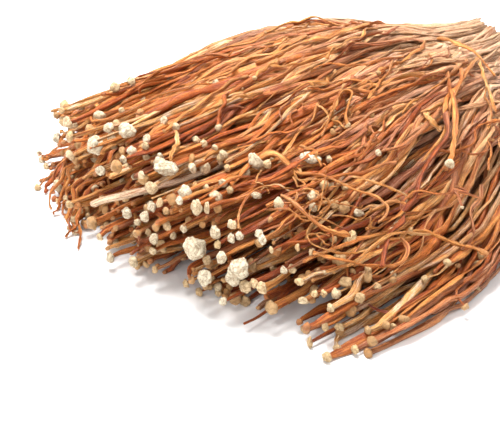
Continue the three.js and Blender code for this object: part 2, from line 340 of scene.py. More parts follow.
# Some of the inner ones stop short, so that their ends lie along the top as well as at the front.
shortened = inner & (draw.random(count) < growth["shortShare"] + topping["moreShort"] * plan["onTop"])
shorter = plan["length"] * mix(*growth["short"], draw.random(count))
plan["length"] = np.where(shortened, shorter, plan["length"])
thinned = (plan["clump"] == thinClump["index"]) & inner & (draw.random(count) < thinClump["share"])
ends = mix(*thinClump["ends"], draw.random(count) ** thinClump["power"])
plan["length"] = np.where(thinned, ends, plan["length"])
print("planned", count, "mushrooms")


# Across and up in a clump's section, which is a square with round corners.
def squared(angle, radius):
    def corner(value):
        return np.sign(value) * np.abs(value) ** growth["corner"]

    return radius * corner(np.cos(angle)), radius * corner(np.sin(angle))


# Stations from feet to tips, with side values and heights there in one row for each mushroom.
def routeMushrooms():
    along = np.linspace(0, 1, growth["stations"])[None, :]
    column = {key: value[:, None] for key, value in plan.items() if key != "waves"}
    fanning = smooth((along - growth["fansFrom"]) / (column["length"] - growth["fansFrom"]))
    here = squared(column["angle"], column["ring"])
    there = squared(column["tipAngle"], column["tipRing"])
    room = 1 - growth["sharedWave"] - growth["ownWave"]
    grown = growth["sharedWave"] * smooth(along / growth["waveFrom"])
    places = []
    for k in (0, 1):
        size, waveCount, phase = (plan["waves"][:, k, j][:, None] for j in range(3))
        shared = grown * np.sin(growth["sharedCount"] * along + growth["ofClump"] * column["first"] * (k + 1))
        alone = size * np.sin(2 * math.pi * waveCount * along + phase)
        places.append(np.clip(mix(here[k], there[k], fanning) * room + shared + alone, -1, 1))
    half = (column["last"] - column["first"]) / 2
    side = (column["last"] + column["first"]) / 2 + places[0] * half * growth["mingle"]
    side = np.clip(side, -growth["sideLimit"], growth["sideLimit"])
    settled = smooth(along / growth["grownAt"])
    low = np.where(column["upper"], splitHeight(side, along) * mix(growth["upperSinks"], 1, settled), 0)
    high = np.where(column["upper"], heapHeight(side, along), splitHeight(side, along))
    height = (low + high) / 2 + places[1] * (high - low) / 2 * growth["mingle"]
    # Slow drifts of its own, across and up, that make neighbours cross.
    drifts = []
    for size in (growth["drift"], growth["lift"]):
        reach = mix(*size, draw.random((count, 1)) ** 2) * mix(1, topping["drift"], column["onTop"])
        turns = mix(*growth["driftTurns"], draw.random((count, 1)))
        drifts.append(reach * np.sin(2 * math.pi * (turns * along + draw.random((count, 1)))) * settled)
    side = side + drifts[0] / laneSpacing(side, np.broadcast_to(along, side.shape))
    return along[0], side, height + drifts[1]


along, side, height = routeMushrooms()

outline = {  # how far along the lowest stems reach at each side value, freed above a height
    "side": [-1, -0.93, -0.85, -0.71, -0.41, -0.1, 0, 0.27, 0.47, 0.59, 0.8, 0.95, 1],
    "along": [0.965, 0.965, 0.955, 0.925, 0.915, 0.935, 0.935, 0.945, 0.955, 0.965, 0.955, 0.95, 0.95],
    "free": 0.985,
    "height": (4, 13),
    "uneven": 0.02,
}
# Low down behind the near corner the stems end early, under those of the upper layer.
hollow = {"side": (-0.76, -0.45), "under": 13, "ends": (0.8, 0.87)}

# Caps that show: pixels across, down, wide and high in the main view, and tone (0 amber, 0.5 tan, 1 cream).
shownCaps = [
    (132, 87, 11, 9, 0.7), (128, 124, 20, 14, 1), (95, 145, 19, 17, 1), (92, 137, 12, 10, 1),
    (53, 136, 14, 12, 1), (132, 145, 12, 10, 1), (147, 135, 10, 10, 0.9), (146, 143, 8, 8, 0.6),
    (164, 119, 9, 10, 0.8), (176, 125, 8, 9, 0.7), (217, 79, 10, 8, 0.8), (167, 162, 26, 13, 1),
    (160, 157, 12, 12, 1), (161, 150, 8, 9, 0.9), (185, 186, 14, 13, 1), (181, 194, 8, 8, 1),
    (193, 162, 9, 10, 0.9), (196, 133, 8, 7, 0.7), (204, 137, 8, 8, 0.6), (224, 154, 10, 9, 0.7),
    (216, 146, 7, 6, 0.7), (100, 170, 9, 10, 1), (124, 156, 8, 8, 0.9), (142, 168, 7, 8, 0.7),
    (217, 189, 13, 10, 0.8), (224, 176, 9, 9, 0.8), (197, 200, 12, 16, 0.75), (207, 201, 6, 12, 0.7),
    (152, 207, 9, 10, 1), (127, 214, 11, 12, 1), (145, 217, 11, 11, 0.95), (137, 223, 7, 7, 0.8),
    (184, 228, 8, 8, 0.9), (154, 240, 10, 10, 0.9), (153, 251, 7, 7, 0.7), (110, 257, 9, 12, 0.9),
    (133, 261, 10, 12, 0.8), (194, 247, 20, 22, 1), (216, 233, 11, 12, 0.9), (231, 224, 9, 9, 0.8),
    (232, 238, 9, 9, 1), (57, 185, 12, 13, 0.8), (72, 124, 14, 10, 0.8), (100, 108, 15, 10, 0.8),
    (115, 93, 12, 11, 0.6), (122, 105, 8, 9, 0.6), (109, 121, 12, 9, 0.9), (74, 203, 7, 7, 0.5),
    (246, 165, 9, 10, 0.8), (268, 163, 11, 9, 0.5), (230, 186, 7, 8, 0.5), (256, 188, 11, 6, 0.9),
    (312, 158, 22, 13, 1.15), (312, 189, 11, 10, 0.8), (324, 182, 9, 9, 0.45), (279, 199, 11, 12, 0.7),
    (314, 201, 9, 9, 0.8), (359, 207, 12, 7, 0.9), (232, 224, 9, 9, 0.6), (240, 236, 9, 9, 1),
    (217, 244, 7, 8, 0.5), (258, 227, 8, 8, 1), (263, 232, 9, 11, 1), (222, 257, 11, 13, 1),
    (205, 278, 14, 16, 1), (240, 269, 23, 20, 1), (233, 278, 14, 14, 1), (271, 244, 5, 6, 0.6),
    (285, 270, 8, 8, 1), (246, 287, 13, 11, 0.6), (263, 288, 12, 12, 0.6), (255, 283, 9, 9, 0.6),
    (223, 301, 8, 8, 1), (300, 275, 9, 7, 0.5), (345, 275, 13, 9, 0.4), (337, 287, 10, 10, 0.7),
    (361, 299, 10, 10, 0.4), (304, 300, 13, 6, 0.7), (330, 305, 7, 11, 0.6), (315, 288, 7, 7, 0.5),
    (325, 287, 7, 7, 0.5), (377, 241, 6, 6, 0.8), (393, 272, 7, 6, 0.7), (378, 286, 10, 8, 0.45),
    (370, 264, 8, 9, 0.4), (326, 326, 8, 10, 0.5), (340, 327, 11, 7, 0.5), (310, 342, 6, 12, 0.45),
    (328, 357, 12, 9, 0.5), (355, 349, 9, 8, 0.5), (330, 155, 8, 7, 0.7), (345, 180, 7, 7, 0.5),
]
# Thin strands over the top: radius, then pixels across and down in the main view and the lift over the stems.
strands = [
    (0.34, [(317, 99, 5.5), (324, 108, 4), (331, 118, 2.5), (338, 124, 1), (345, 131, 0.3)]),
    (0.4, [(352, 84, 6), (360, 80, 4.5), (368, 78, 3), (372, 84, 1.5), (366, 90, 0.5)]),
    (0.36, [(345, 80, 6.3), (339, 92, 5), (336, 104, 4), (330, 118, 2.4), (322, 126, 0.6),
            (312, 133, 0.2)]),
    (0.22, [(262, 165, 0.5), (258, 172, 2), (256, 177, 2.5), (261, 179, 2), (266, 182, 0.5),
            (269, 187, 0.1)]),
    (0.25, [(294, 170, 0.3), (299, 178, 1.2), (304, 180, 1.5), (303, 174, 1), (308, 177, 0.3)]),
    (0.22, [(265, 196, 0.3), (276, 202, 0.9), (290, 207, 1.2), (298, 212, 1.6), (299, 217, 1.6),
            (304, 219, 1.2), (314, 217, 1.4), (322, 211, 1)]),
    (0.25, [(328, 172, 1), (325, 180, 2.6), (323, 192, 3), (322, 206, 1.5), (318, 214, 0.3)]),
    (0.25, [(315, 217, 0.5), (318, 226, 1.2), (324, 237, 0.8), (329, 243, 0.2)]),
    (0.25, [(347, 193, 0.4), (340, 196, 1.5), (334, 198, 2), (328, 203, 2), (320, 205, 1)]),
    (0.22, [(330, 210, 0.5), (345, 213, 1.5), (358, 218, 1.5), (367, 212, 1), (372, 205, 0.5)]),
    (0.68, [(428, 108, 0.4), (426, 116, 1.6), (428, 126, 2.4), (434, 137, 2), (441, 142, 0.6)]),
    (0.5, [(421, 107, 0.4), (430, 107, 1.4), (440, 105, 1.6), (448, 102, 0.5)]),
    (0.4, [(300, 142, 0.4), (312, 150, 0.8), (318, 160, 0.6), (322, 167, 0.2)]),
    (0.5, [(478, 58, 1.5), (462, 78, 1.5), (452, 100, 1.3), (448, 125, 1), (444, 150, 0.8),
           (430, 172, 0.5), (420, 184, 0.2)]),
    (0.43, [(480, 56, 1.5), (484, 72, 1.5), (490, 95, 1.3), (496, 120, 0.8)]),
    (0.47, [(440, 30, 0.6), (455, 38, 1.4), (470, 48, 1.8), (484, 60, 1.5), (495, 75, 0.8)]),
    (0.43, [(474, 60, 1.2), (455, 70, 1.2), (436, 80, 1), (418, 95, 0.8), (402, 112, 0.3)]),
    (0.58, [(177, 126, 1.5), (178, 136, 1.5), (173, 146, 1.2), (171, 156, 0.4)]),
    (0.36, [(385, 200, 0.3), (396, 206, 1.2), (404, 214, 1.6), (398, 222, 1.2), (380, 226, 0.6),
            (366, 224, 0.2)]),
    (0.29, [(352, 176, 0.3), (372, 186, 1.4), (386, 196, 1.6), (400, 206, 0.8), (408, 214, 0.2)]),
]
# The single mushrooms that the frame has on top: radius of stem and cap, tone, then side, along and lift.
looseMushrooms = [
    (0.55, 1.9, 0.85, [(-0.755, 0.795, 0.4), (-0.75, 0.775, 0.4), (-0.73, 0.76, 0.4), (-0.69, 0.755, 0.4),
                       (-0.63, 0.765, 0.4), (-0.53, 0.77, 0.4), (-0.46, 0.78, 0.4), (-0.38, 0.775, 0.6),
                       (-0.32, 0.775, 1.2), (-0.29, 0.795, 0.8)]),
    (0.5, 1.1, 0.55, [(-0.36, 0.69, 0.3), (-0.33, 0.655, 2.5), (-0.31, 0.63, 5), (-0.28, 0.6, 6.5),
                      (-0.31, 0.59, 6), (-0.335, 0.61, 4), (-0.355, 0.63, 2), (-0.39, 0.645, 0.4)]),
    (0.5, 1.2, 0.6, [(-0.77, 0.75, 0.4), (-0.815, 0.77, 0.8), (-0.83, 0.79, 0.6), (-0.81, 0.82, 0.4),
                     (-0.78, 0.85, 0.4), (-0.735, 0.87, 0.4), (-0.68, 0.88, 0.4)]),
    (0.6, 1.4, 0.3, [(-0.97, 0.665, 0.6), (-0.93, 0.675, 0.6), (-0.87, 0.685, 0.6), (-0.82, 0.695, 0.6),
                     (-0.76, 0.715, 0.8)]),
    (0.6, 1.7, 0.5, [(-0.49, 0.84, 0.4), (-0.57, 0.85, 0.6), (-0.64, 0.86, 0.8), (-0.69, 0.865, 1),
                     (-0.715, 0.855, 0.6), (-0.735, 0.84, 0.4)]),
    (0.7, 1.6, 0.8, [(-0.4, 0.34, 0.4), (-0.61, 0.46, 0.8), (-0.7, 0.53, 1.2), (-0.75, 0.58, 1.4),
                     (-0.785, 0.625, 0.8)]),
]


# Each row's value at its own share along.
def placeAt(values, at):
    return np.array([np.interp(a, along, row) for a, row in zip(np.broadcast_to(at, len(values)), values)])


tipSide, tipHeight = placeAt(side, plan["length"]), placeAt(height, plan["length"])
lowest, highest = outline["height"]
freed = smooth((tipHeight - lowest) / (highest - lowest))
inHollow = (tipSide > hollow["side"][0]) & (tipSide < hollow["side"][1]) & (tipHeight < hollow["under"])
inHollow &= inner
ends = mix(*hollow["ends"], draw.random(count))
plan["length"] = np.where(inHollow, np.minimum(plan["length"], ends), plan["length"])
limit = mix(np.interp(tipSide, outline["side"], outline["along"]), outline["free"], freed)
plan["length"] = np.minimum(plan["length"], limit - outline["uneven"] * draw.random(count))
taken = np.zeros(count, bool)
pinnedSide, pinnedHeight = np.zeros(count), np.zeros(count)
capRow = np.full(count, -1)

bending = {
    "over": 0.25,
    "pinned": 0.035,
    "lengthPenalty": 30,
    "builtPenalty": 60,
    "sizePenalty": 2.0,
    "never": 1e6,
}


# Leads mushroom i's last part to a place, and ends it there.
def bendTo(i, target):
    goalSide, goalAlong, goalHeight = target
    weight = smooth((along - goalAlong) / bending["over"] + 1)
    side[i] += weight * (goalSide - np.interp(goalAlong, along, side[i]))
    height[i] += weight * (goalHeight - np.interp(goalAlong, along, height[i]))
    plan["length"][i] = goalAlong
    pinnedSide[i], pinnedHeight[i] = goalSide, goalHeight
    taken[i] = True


capGoals = [fromView(across, down) for across, down, *_ in shownCaps]
capRadii = [math.sqrt(wide * high) * pixel / 2 for _, _, wide, high, _ in shownCaps]


# Gives each shown cap, the largest first, the free mushroom that passes nearest to it.
def assignCaps():
    for row in sorted(range(len(shownCaps)), key=lambda k: -capRadii[k]):
        goalSide, goalAlong, goalHeight = capGoals[row]
        radius = capRadii[row]
        spacing = float(laneSpacing(np.array(goalSide), np.array(goalAlong)))
        sideThere, heightThere = placeAt(side, goalAlong), placeAt(height, goalAlong)
        cost = np.hypot((sideThere - goalSide) * spacing, heightThere - goalHeight)
        cost += plan["built"] * bending["builtPenalty"] * np.abs(plan["length"] - goalAlong)
        cost += plan["built"] * bending["sizePenalty"] * np.abs(plan["cap"] - radius)
        tooShort = np.maximum(goalAlong - plan["length"], 0)
        cost += bending["lengthPenalty"] * tooShort + bending["never"] * taken
        i = int(np.argmin(cost))
        bendTo(i, (goalSide, goalAlong, goalHeight))
        capRow[i] = row
        plan["cap"][i] = radius


assignCaps()
# Two bare stems that stand out, a thick pale one and a stray low on the near side.
bareStems = {
    "pale": {"passes": (-0.15, 0.85, 27), "endsAt": (0.06, 0.972, 23.5), "radius": 1.15},
    "stray": {"passes": (-0.6, 0.9, 3), "endsAt": (-0.6, 0.954, 2.4), "radius": 0.6},
}
bareOnes = {}
for name, bare in bareStems.items():
    bareSide, bareAlong, bareHeight = bare["passes"]
    across = (placeAt(side, bareAlong) - bareSide) * fan["tips"]["halfWidth"]
    near = np.hypot(across, placeAt(height, bareAlong) - bareHeight)
    unfit = taken | plan["built"] | (plan["length"] < bareAlong)
    i = int(np.argmin(near + bending["never"] * unfit))
    bendTo(i, bare["endsAt"])
    plan["stem"][i] = bare["radius"]
    bareOnes[name] = i
print("placed", int((capRow >= 0).sum()), "caps")

# How a stem thins out towards its foot and its tip, as shares of its radius, with a neck under the cap.
taper = {
    "foot": 0.74,
    "footOver": 0.3,
    "tip": 0.86,
    "tipFrom": 0.55,
    "tipOver": 0.45,
    "neck": 0.74,
    "neckFrom": 0.92,
    "neckOver": 0.07,
}


def stemRadius(share):
    foot = mix(taper["foot"], 1, smooth(share / taper["footOver"]))
    tip = mix(1, taper["tip"], smooth((share - taper["tipFrom"]) / taper["tipOver"]))
    neck = mix(1, taper["neck"], smooth((share - taper["neckFrom"]) / taper["neckOver"]))
    return foot * tip * neck


packing = {
    "rounds": 16,
    "push": 0.5,
    "furthest": 0.8,  # that one push moves a stem
    "smoothing": 0.2,
    "tight": 0.94,
    "capShare": 0.8,
    "capOver": 0.02,
    "pastTheEnd": 0.03,
    "sunk": 4.4,
    "sunkTurns": 3,
    "sunkFrom": 0.2,
    "edge": 0.985,
    "edgeWidth": 90,
    "room": 0.1,
}
sideTable = np.linspace(-1.15, 1.15, 231)


# The distance across the heap of each side value, at every station.
def stationArcs():
    arcs = []
    for share in along:
        spacing = laneSpacing(sideTable, np.full_like(sideTable, share))
        arcs.append(np.concatenate([[0], np.cumsum((spacing[1:] + spacing[:-1]) / 2 * np.diff(sideTable))]))
    return arcs


# Pushes stems that cut into each other apart, station by station.
def packMushrooms(side, height):
    stations = len(along)
    arcs = stationArcs()
    flat = np.stack([np.interp(side[:, k], sideTable, arcs[k]) for k in range(stations)], 1)
    spread = np.stack([flat, height], -1)
    lengths = plan["length"][:, None]
    radius = plan["stem"][:, None] * stemRadius(along[None, :]) * packing["tight"]
    capRadius = np.where(taken, plan["cap"], plan["stem"])[:, None] * packing["capShare"]
    radius = mix(radius, np.maximum(radius, capRadius), smooth((along - lengths) / packing["capOver"] + 1))
    active = along <= lengths + packing["pastTheEnd"]
    pinned = taken[:, None] & (along > lengths - bending["pinned"])
    pinnedFlat = np.stack([np.interp(pinnedSide, sideTable, arcs[k]) for k in range(stations)], 1)
    pins = np.stack([pinnedFlat, np.repeat(pinnedHeight[:, None], stations, 1)], -1)
    turning = draw.random((count, 1)) * packing["sunkTurns"] * along + draw.random((count, 1))
    sunk = packing["sunk"] * draw.random((count, 1)) ** 2 * (1 + np.sin(2 * math.pi * turning)) / 2
    sunk = sunk * smooth(along / packing["sunkFrom"]) * ~taken[:, None]
    for _ in range(packing["rounds"]):
        for k in range(stations):
            on = np.flatnonzero(active[:, k])
            here = spread[on, k].astype(np.float32)
            r = radius[on, k].astype(np.float32)
            away = here[:, None, :] - here[None, :, :]
            far = np.sqrt(np.maximum((away**2).sum(-1), 1e-8))
            depth = np.maximum(r[:, None] + r[None, :] - far, 0)
            np.fill_diagonal(depth, 0)
            move = (away * (depth / far)[..., None]).sum(1) * packing["push"]
            spread[on, k] += np.clip(move, -packing["furthest"], packing["furthest"])
        blurred = spread.copy()
        blurred[:, 1:-1] = (spread[:, :-2] + spread[:, 2:]) / 2
        spread = mix(spread, blurred, packing["smoothing"])
        for k in range(stations):
            edge = packing["edge"] - radius[:, k] / packing["edgeWidth"]
            sideHere = np.clip(np.interp(spread[:, k, 0], arcs[k], sideTable), -edge, edge)
            spread[:, k, 0] = np.interp(sideHere, sideTable, arcs[k])
            top = heapTop(sideHere, along[k]) - radius[:, k] - sunk[:, k]
            top = np.maximum(top, radius[:, k] + packing["room"])
            spread[:, k, 1] = np.clip(spread[:, k, 1], radius[:, k], top)
        spread = np.where(pinned[..., None], pins, spread)
    side = np.stack([np.interp(spread[:, k, 0], arcs[k], sideTable) for k in range(stations)], 1)
    return side, spread[..., 1]


side, height = packMushrooms(side, height)
print("packed the stems")


front = {"deepest": 5, "clear": 1.3, "behind": 0.012, "uneven": 0.03}


# Ends the stems that would stand in front of a shown cap just behind it.
def openTheFront():
    for i in np.flatnonzero(capRow >= 0):
        goalSide, goalAlong, goalHeight = capGoals[capRow[i]]
        goal = np.array(goalSide), np.array(goalAlong)
        if goalHeight > heapHeight(*goal) - front["deepest"]:
            continue
        across = (placeAt(side, goalAlong) - goalSide) * float(laneSpacing(*goal))
        away = np.hypot(across, placeAt(height, goalAlong) - goalHeight)
        near = (away < capRadii[capRow[i]] + front["clear"]) & ~taken
        near &= plan["length"] > goalAlong - front["behind"]
        plan["length"][near] = goalAlong - front["behind"] - front["uneven"] * draw.random(int(near.sum()))


openTheFront()

lay = {
    "samples": 160,
    "footUneven": 0.014,
    "knots": 16,
    "kink": (0.2, 0.75),
    "wave": (0.1, 0.55),
    "waves": (1.5, 4.5),
    "upShare": 0.7,  # of the kinks and waves
    "grownAt": 0.12,
    "calmed": 0.25,  # their share under a shown cap
    "calmFrom": 0.8,
    "calmOver": 0.2,
    "farFrom": 0.3,  # past this side value more of them droop and hook
    "hookShare": 0.34,
    "hook": (0.5, 1.9),
    "hookOver": (0.03, 0.07),
    "hookDownFrom": (0.75, 0.35),  # this share of the height, or this side value
    "drooping": 0.2,
    "droopShare": 0.34,
    "droop": (8, 22),
    "droopOver": (0.12, 0.24),
    "droopAside": 4,
    "longer": 6,
    "longerFrom": (0.45, 0.2),
    "raggedShare": 0.3,
    "raggedFrom": 0.8,
    "ragged": (1.0, 4.5),
    "raggedOver": (0.1, 0.3),
    "leastFloor": 0.7,
    "capFloor": 0.75,
    "capFloorFrom": 0.9,
    "capFloorOver": 0.1,
}


# Bends at odd places, as a dried stem has, and slower waves.
def kinked(centres, across, t, grown):
    for axis in (across, np.array([[0, 0, lay["upShare"]]])):
        knots = np.sort(np.concatenate([[0, 1], draw.random(lay["knots"])]))
        kinks = np.interp(t, knots, draw.normal(0, mix(*lay["kink"], draw.random()), len(knots)))
        turns = mix(*lay["waves"], draw.random())
        wave = mix(*lay["wave"], draw.random()) * np.sin(2 * math.pi * (turns * t + draw.random()))
        centres = centres + axis * (grown * (kinks + wave))[:, None]
    return centres


# The centre line of planned mushroom i, in millimetres.
def layMushroom(i):
    t = np.linspace(0, 1, lay["samples"])
    here = mix(lay["footUneven"] * draw.random(), plan["length"][i], t)
    sideHere, heightHere = np.interp(here, along, side[i]), np.interp(here, along, height[i])
    centres = np.concatenate([lane(sideHere, here), heightHere[:, None]], 1)
    onwards = np.gradient(centres, axis=0)
    onwards /= np.linalg.norm(onwards, axis=1, keepdims=True)
    across = np.cross(onwards, np.array([0, 0, 1.0]))
    grown = smooth(t / lay["grownAt"])
    if capRow[i] >= 0:
        grown = grown * mix(1, lay["calmed"], smooth((t - lay["calmFrom"]) / lay["calmOver"]))
    centres = kinked(centres, across, t, grown)
    tipSide, tipHeight = sideHere[-1], heightHere[-1]
    free = not taken[i] and not plan["built"][i]
    moreFar = 1 + smooth((tipSide - lay["farFrom"]) / lay["farFrom"])
    if free and tipSide > lay["drooping"] and draw.random() < lay["droopShare"] * moreFar:
        last = np.clip((t - 1) / mix(*lay["droopOver"], draw.random()) + 1, 0, 1) ** 2
        longerFrom, longerOver = lay["longerFrom"]
        longer = lay["longer"] * smooth((tipSide - longerFrom) / longerOver) * draw.random()
        centres += np.outer(last, onwards[-1] * longer + across[-1] * draw.normal(0, lay["droopAside"]))
        centres[:, 2] -= mix(*lay["droop"], draw.random()) * last
    onTop = tipHeight > lay["raggedFrom"] * heapHeight(tipSide, here[-1])
    if free and onTop and draw.random() < lay["raggedShare"]:
        over = mix(*lay["raggedOver"], draw.random())
        centres[:, 2] += mix(*lay["ragged"], draw.random() ** 2) * np.clip((t - 1) / over + 1, 0, 1) ** 1.5
    highFrom, farFrom = lay["hookDownFrom"]
    if free and draw.random() < lay["hookShare"] * moreFar:
        turn = mix(*lay["hook"], draw.random())
        downwards = tipHeight > highFrom * heapTop(tipSide, here[-1]) or tipSide > farFrom
        centres = hooked(centres, mix(*lay["hookOver"], draw.random()), turn, downwards)
    floor = plan["stem"][i] * np.clip(stemRadius(t), lay["leastFloor"], 1)
    if capRow[i] >= 0:
        underCap = smooth((t - lay["capFloorFrom"]) / lay["capFloorOver"])
        floor = mix(floor, plan["cap"][i] * lay["capFloor"], underCap)
    centres[:, 2] = np.maximum(centres[:, 2], floor)
    return centres


# Bends the last part round, like a finger.
def hooked(centres, over, turn, downwards):
    first = int(len(centres) * (1 - over)) - 1
    steps = np.diff(centres[first:], axis=0)
    lengths = np.linalg.norm(steps, axis=1)
    heading = steps[0] / lengths[0]
    aside = np.cross(heading, np.array([0, 0, 1.0]))
    aside = aside / np.linalg.norm(aside)
    angle = math.pi * mix(1.1, 1.9, draw.random()) if downwards else 2 * math.pi * draw.random()
    normal = aside * math.cos(angle) + np.cross(aside, heading) * math.sin(angle)
    bend = turn * smooth(np.linspace(0, 1, len(lengths)) * 1.2)
    headings = heading[None] * np.cos(bend)[:, None] + normal[None] * np.sin(bend)[:, None]
    made = centres.copy()
    made[first + 1 :] = centres[first] + np.cumsum(headings * lengths[:, None], 0)
    return made


centreLines = [layMushroom(i) for i in range(count)]

# How high the laid stems reach, in cells of half a millimetre seen from above.
surface = {"cell": 0.5, "low": np.array([-95.0, -95.0]), "height": np.zeros((380, 380))}


def cellOf(places):
    return np.rint((places[:, :2] - surface["low"]) / surface["cell"]).astype(int)


# Raises the surface where a stem lies.
def raiseSurface(centres, radii):
    radii = np.broadcast_to(radii, len(centres))
    tall = surface["height"]
    reach = int(np.ceil(radii.max() / surface["cell"]))
    for dx in range(-reach, reach + 1):
        for dy in range(-reach, reach + 1):
            cell = cellOf(centres) + (dx, dy)
            away = cell * surface["cell"] + surface["low"] - centres[:, :2]
            under = radii**2 - (away**2).sum(1)
            on = (under > 0) & (cell >= 0).all(1) & (cell < tall.shape).all(1)
            np.maximum.at(tall, (cell[on, 0], cell[on, 1]), centres[on, 2] + np.sqrt(under[on]))


# The highest point within a radius of each place.
def surfaceUnder(places, radius):
    tall = surface["height"]
    best = np.zeros(len(places))
    for angle in np.linspace(0, 2 * math.pi, 9):
        for share in (0, 0.5, 1):
            offset = share * radius * np.array([math.cos(angle), math.sin(angle)])
            cell = np.clip(cellOf(places[:, :2] + offset), 0, np.array(tall.shape) - 1)
            best = np.maximum(best, tall[cell[:, 0], cell[:, 1]])
    return best


clearing = {"share": 0.18, "depth": 70, "from": 0.72, "shorter": 2}


# Cuts back the free stems whose ends hide the last part of stem i from the shown side.
def clearBefore(i):
    own = centreLines[i][int(len(centreLines[i]) * (1 - clearing["share"])) :: 4]
    for j in np.flatnonzero(~taken & ~plan["built"]):
        away = centreLines[j][:, None] - own[None]
        before = away @ towards
        aside = np.linalg.norm(away - before[..., None] * towards, axis=2)
        close = aside < plan["stem"][j] + plan["stem"][i]
        hiding = ((before > 0) & (before < clearing["depth"]) & close).any(1)
        if hiding.any() and hiding.argmax() > lay["samples"] * clearing["from"]:
            centreLines[j] = centreLines[j][: hiding.argmax() - clearing["shorter"]]


clearBefore(bareOnes["pale"])

topCaps = {"within": 1, "spread": 0.6, "lift": 0.45, "lower": 2, "higher": 2.5, "risesFrom": 0.72}
topCapped = [
    i for i in np.flatnonzero(capRow >= 0)
    if capGoals[capRow[i]][2] > heapTop(*map(np.array, capGoals[capRow[i]][:2])) - topCaps["within"]
]
for i in range(count):
    if i not in topCapped:
        raiseSurface(centreLines[i][::2], plan["stem"][i])
# Caps on top lie on the stems round them, with their own stem's end rising to them.
for i in topCapped:
    line, radius, goalHeight = centreLines[i], plan["cap"][i], capGoals[capRow[i]][2]
    rising = smooth((np.linspace(0, 1, len(line)) - topCaps["risesFrom"]) / (1 - topCaps["risesFrom"]))
    restsAt = surfaceUnder(line[-1:], radius * topCaps["spread"])[0] + radius * topCaps["lift"]
    restsAt = np.clip(restsAt, goalHeight - topCaps["lower"], goalHeight + topCaps["higher"])
    line[:, 2] += (restsAt - line[-1, 2]) * rising
    raiseSurface(line[::2], plan["stem"][i])
print("laid", count, "stems")


# A smooth curve through the points.
def throughPoints(points, samples):
    points = np.asarray(points, float)
    padded = np.concatenate([2 * points[:1] - points[1:2], points, 2 * points[-1:] - points[-2:-1]])
    at = np.linspace(0, len(points) - 1, samples)
    k = np.minimum(at.astype(int), len(points) - 2)
    t = (at - k)[:, None]
    a, b, c, d = padded[k], padded[k + 1], padded[k + 2], padded[k + 3]
    return 0.5 * (2 * b + (c - a) * t + (2 * a - 5 * b + 4 * c - d) * t**2 + (3 * b - a - 3 * c + d) * t**3)


# What lies over the others follows them with slopes no steeper than this, sunk in by a part of its radius.
resting = {"slope": 0.35, "sunkShare": 0.8, "liftSunk": 0.3, "deepest": -0.2, "kink": 0.16}


# A strand's centre line, resting on the stems with the lift that its route gives.
def layOver(route, radius, samples=90):
    path = throughPoints(route, samples)
    places = lane(path[:, 0], path[:, 1])
    under = surfaceUnder(places, radius)
    wide = max(3, samples // 14)
    spread = np.array([under[max(0, k - wide // 2) : k + wide // 2 + 1].max() for k in range(samples)])
    gaps = np.linalg.norm(np.diff(places, axis=0), axis=1) * resting["slope"]
    for k in range(1, samples):
        spread[k] = max(spread[k], spread[k - 1] - gaps[k - 1])
    for k in range(samples - 2, -1, -1):
        spread[k] = max(spread[k], spread[k + 1] - gaps[k])
    kernel = np.hanning(wide + 2)[1:-1]
    padded = np.pad(spread, wide // 2, mode="edge")
    rest = np.convolve(padded, kernel / kernel.sum(), mode="valid")[:samples]
    lift = np.maximum(path[:, 2] - resting["liftSunk"], resting["deepest"])
    centres = np.concatenate([places, (rest + radius * resting["sunkShare"] + lift)[:, None]], 1)
    knots = np.linspace(0, 1, max(6, samples // 10))
    for axis in range(3):
        kinks = draw.normal(0, resting["kink"], len(knots))
        centres[:, axis] += np.interp(np.linspace(0, 1, samples), knots, kinks)
    return centres


# A closed tube to repeat, spun about y, that comes to a point at both ends and knows the level of each ring.
def spunTemplate(name, levels, sides):
    bm = bmesh.new()
    verts = [bm.verts.new((0 if level in (0, levels - 1) else 1, level, 0)) for level in range(levels)]
    for a, b in zip(verts, verts[1:]):
        bm.edges.new((a, b))
    half = bm.verts[:] + bm.edges[:]
    bmesh.ops.spin(
        bm, geom=half, axis=(0, 1, 0), cent=(0, 0, 0), angle=2 * math.pi, steps=sides, use_merge=True
    )
    bmesh.ops.remove_doubles(bm, verts=bm.verts[:], dist=1e-4)
    bmesh.ops.recalc_face_normals(bm, faces=bm.faces[:])
    mesh = bpy.data.meshes.new(name)
    bm.to_mesh(mesh)
    bm.free()
    places = np.empty(len(mesh.vertices) * 3)
    mesh.vertices.foreach_get("co", places)
    places = places.reshape(-1, 3)
    return {
        "mesh": mesh,
        "level": np.rint(places[:, 1]).astype(int),
        "turn": np.arctan2(places[:, 2], places[:, 0]),
        "onAxis": np.hypot(places[:, 0], places[:, 2]) < 0.5,
        "sides": sides,
        "levels": levels,
    }


stemTemplate = spunTemplate("stem", 42, 8)
strandTemplate = spunTemplate("strand", 48, 6)
# Half a section of a cap, in shares of its radius: underside, rim and dome.
capSection = [
    (0, -0.05), (0.42, -0.14), (0.78, -0.32), (0.98, -0.16), (1, 0.1), (0.92, 0.4), (0.72, 0.66), (0.4, 0.84),
    (0, 0.9),
]
capSizes = {"small": (10, 8), "shown": (18, 14), "large": (30, 22)}  # sides and levels
capTemplates = {
    size: (spunTemplate(f"cap_{size}", levels, sides), throughPoints(capSection, levels))
    for size, (sides, levels) in capSizes.items()
}


# Two directions across a centre line that are carried along it.
def carried(centres):
    onwards = np.gradient(centres, axis=0)
    onwards /= np.linalg.norm(onwards, axis=1, keepdims=True)
    aside = np.cross(onwards[0], (0.1, 0.2, 1.0))
    asides = [aside / np.linalg.norm(aside)]
    for heading in onwards[1:]:
        aside = asides[-1] - heading * np.dot(asides[-1], heading)
        asides.append(aside / np.linalg.norm(aside))
    asides = np.array(asides)
    return asides, np.cross(asides, onwards)


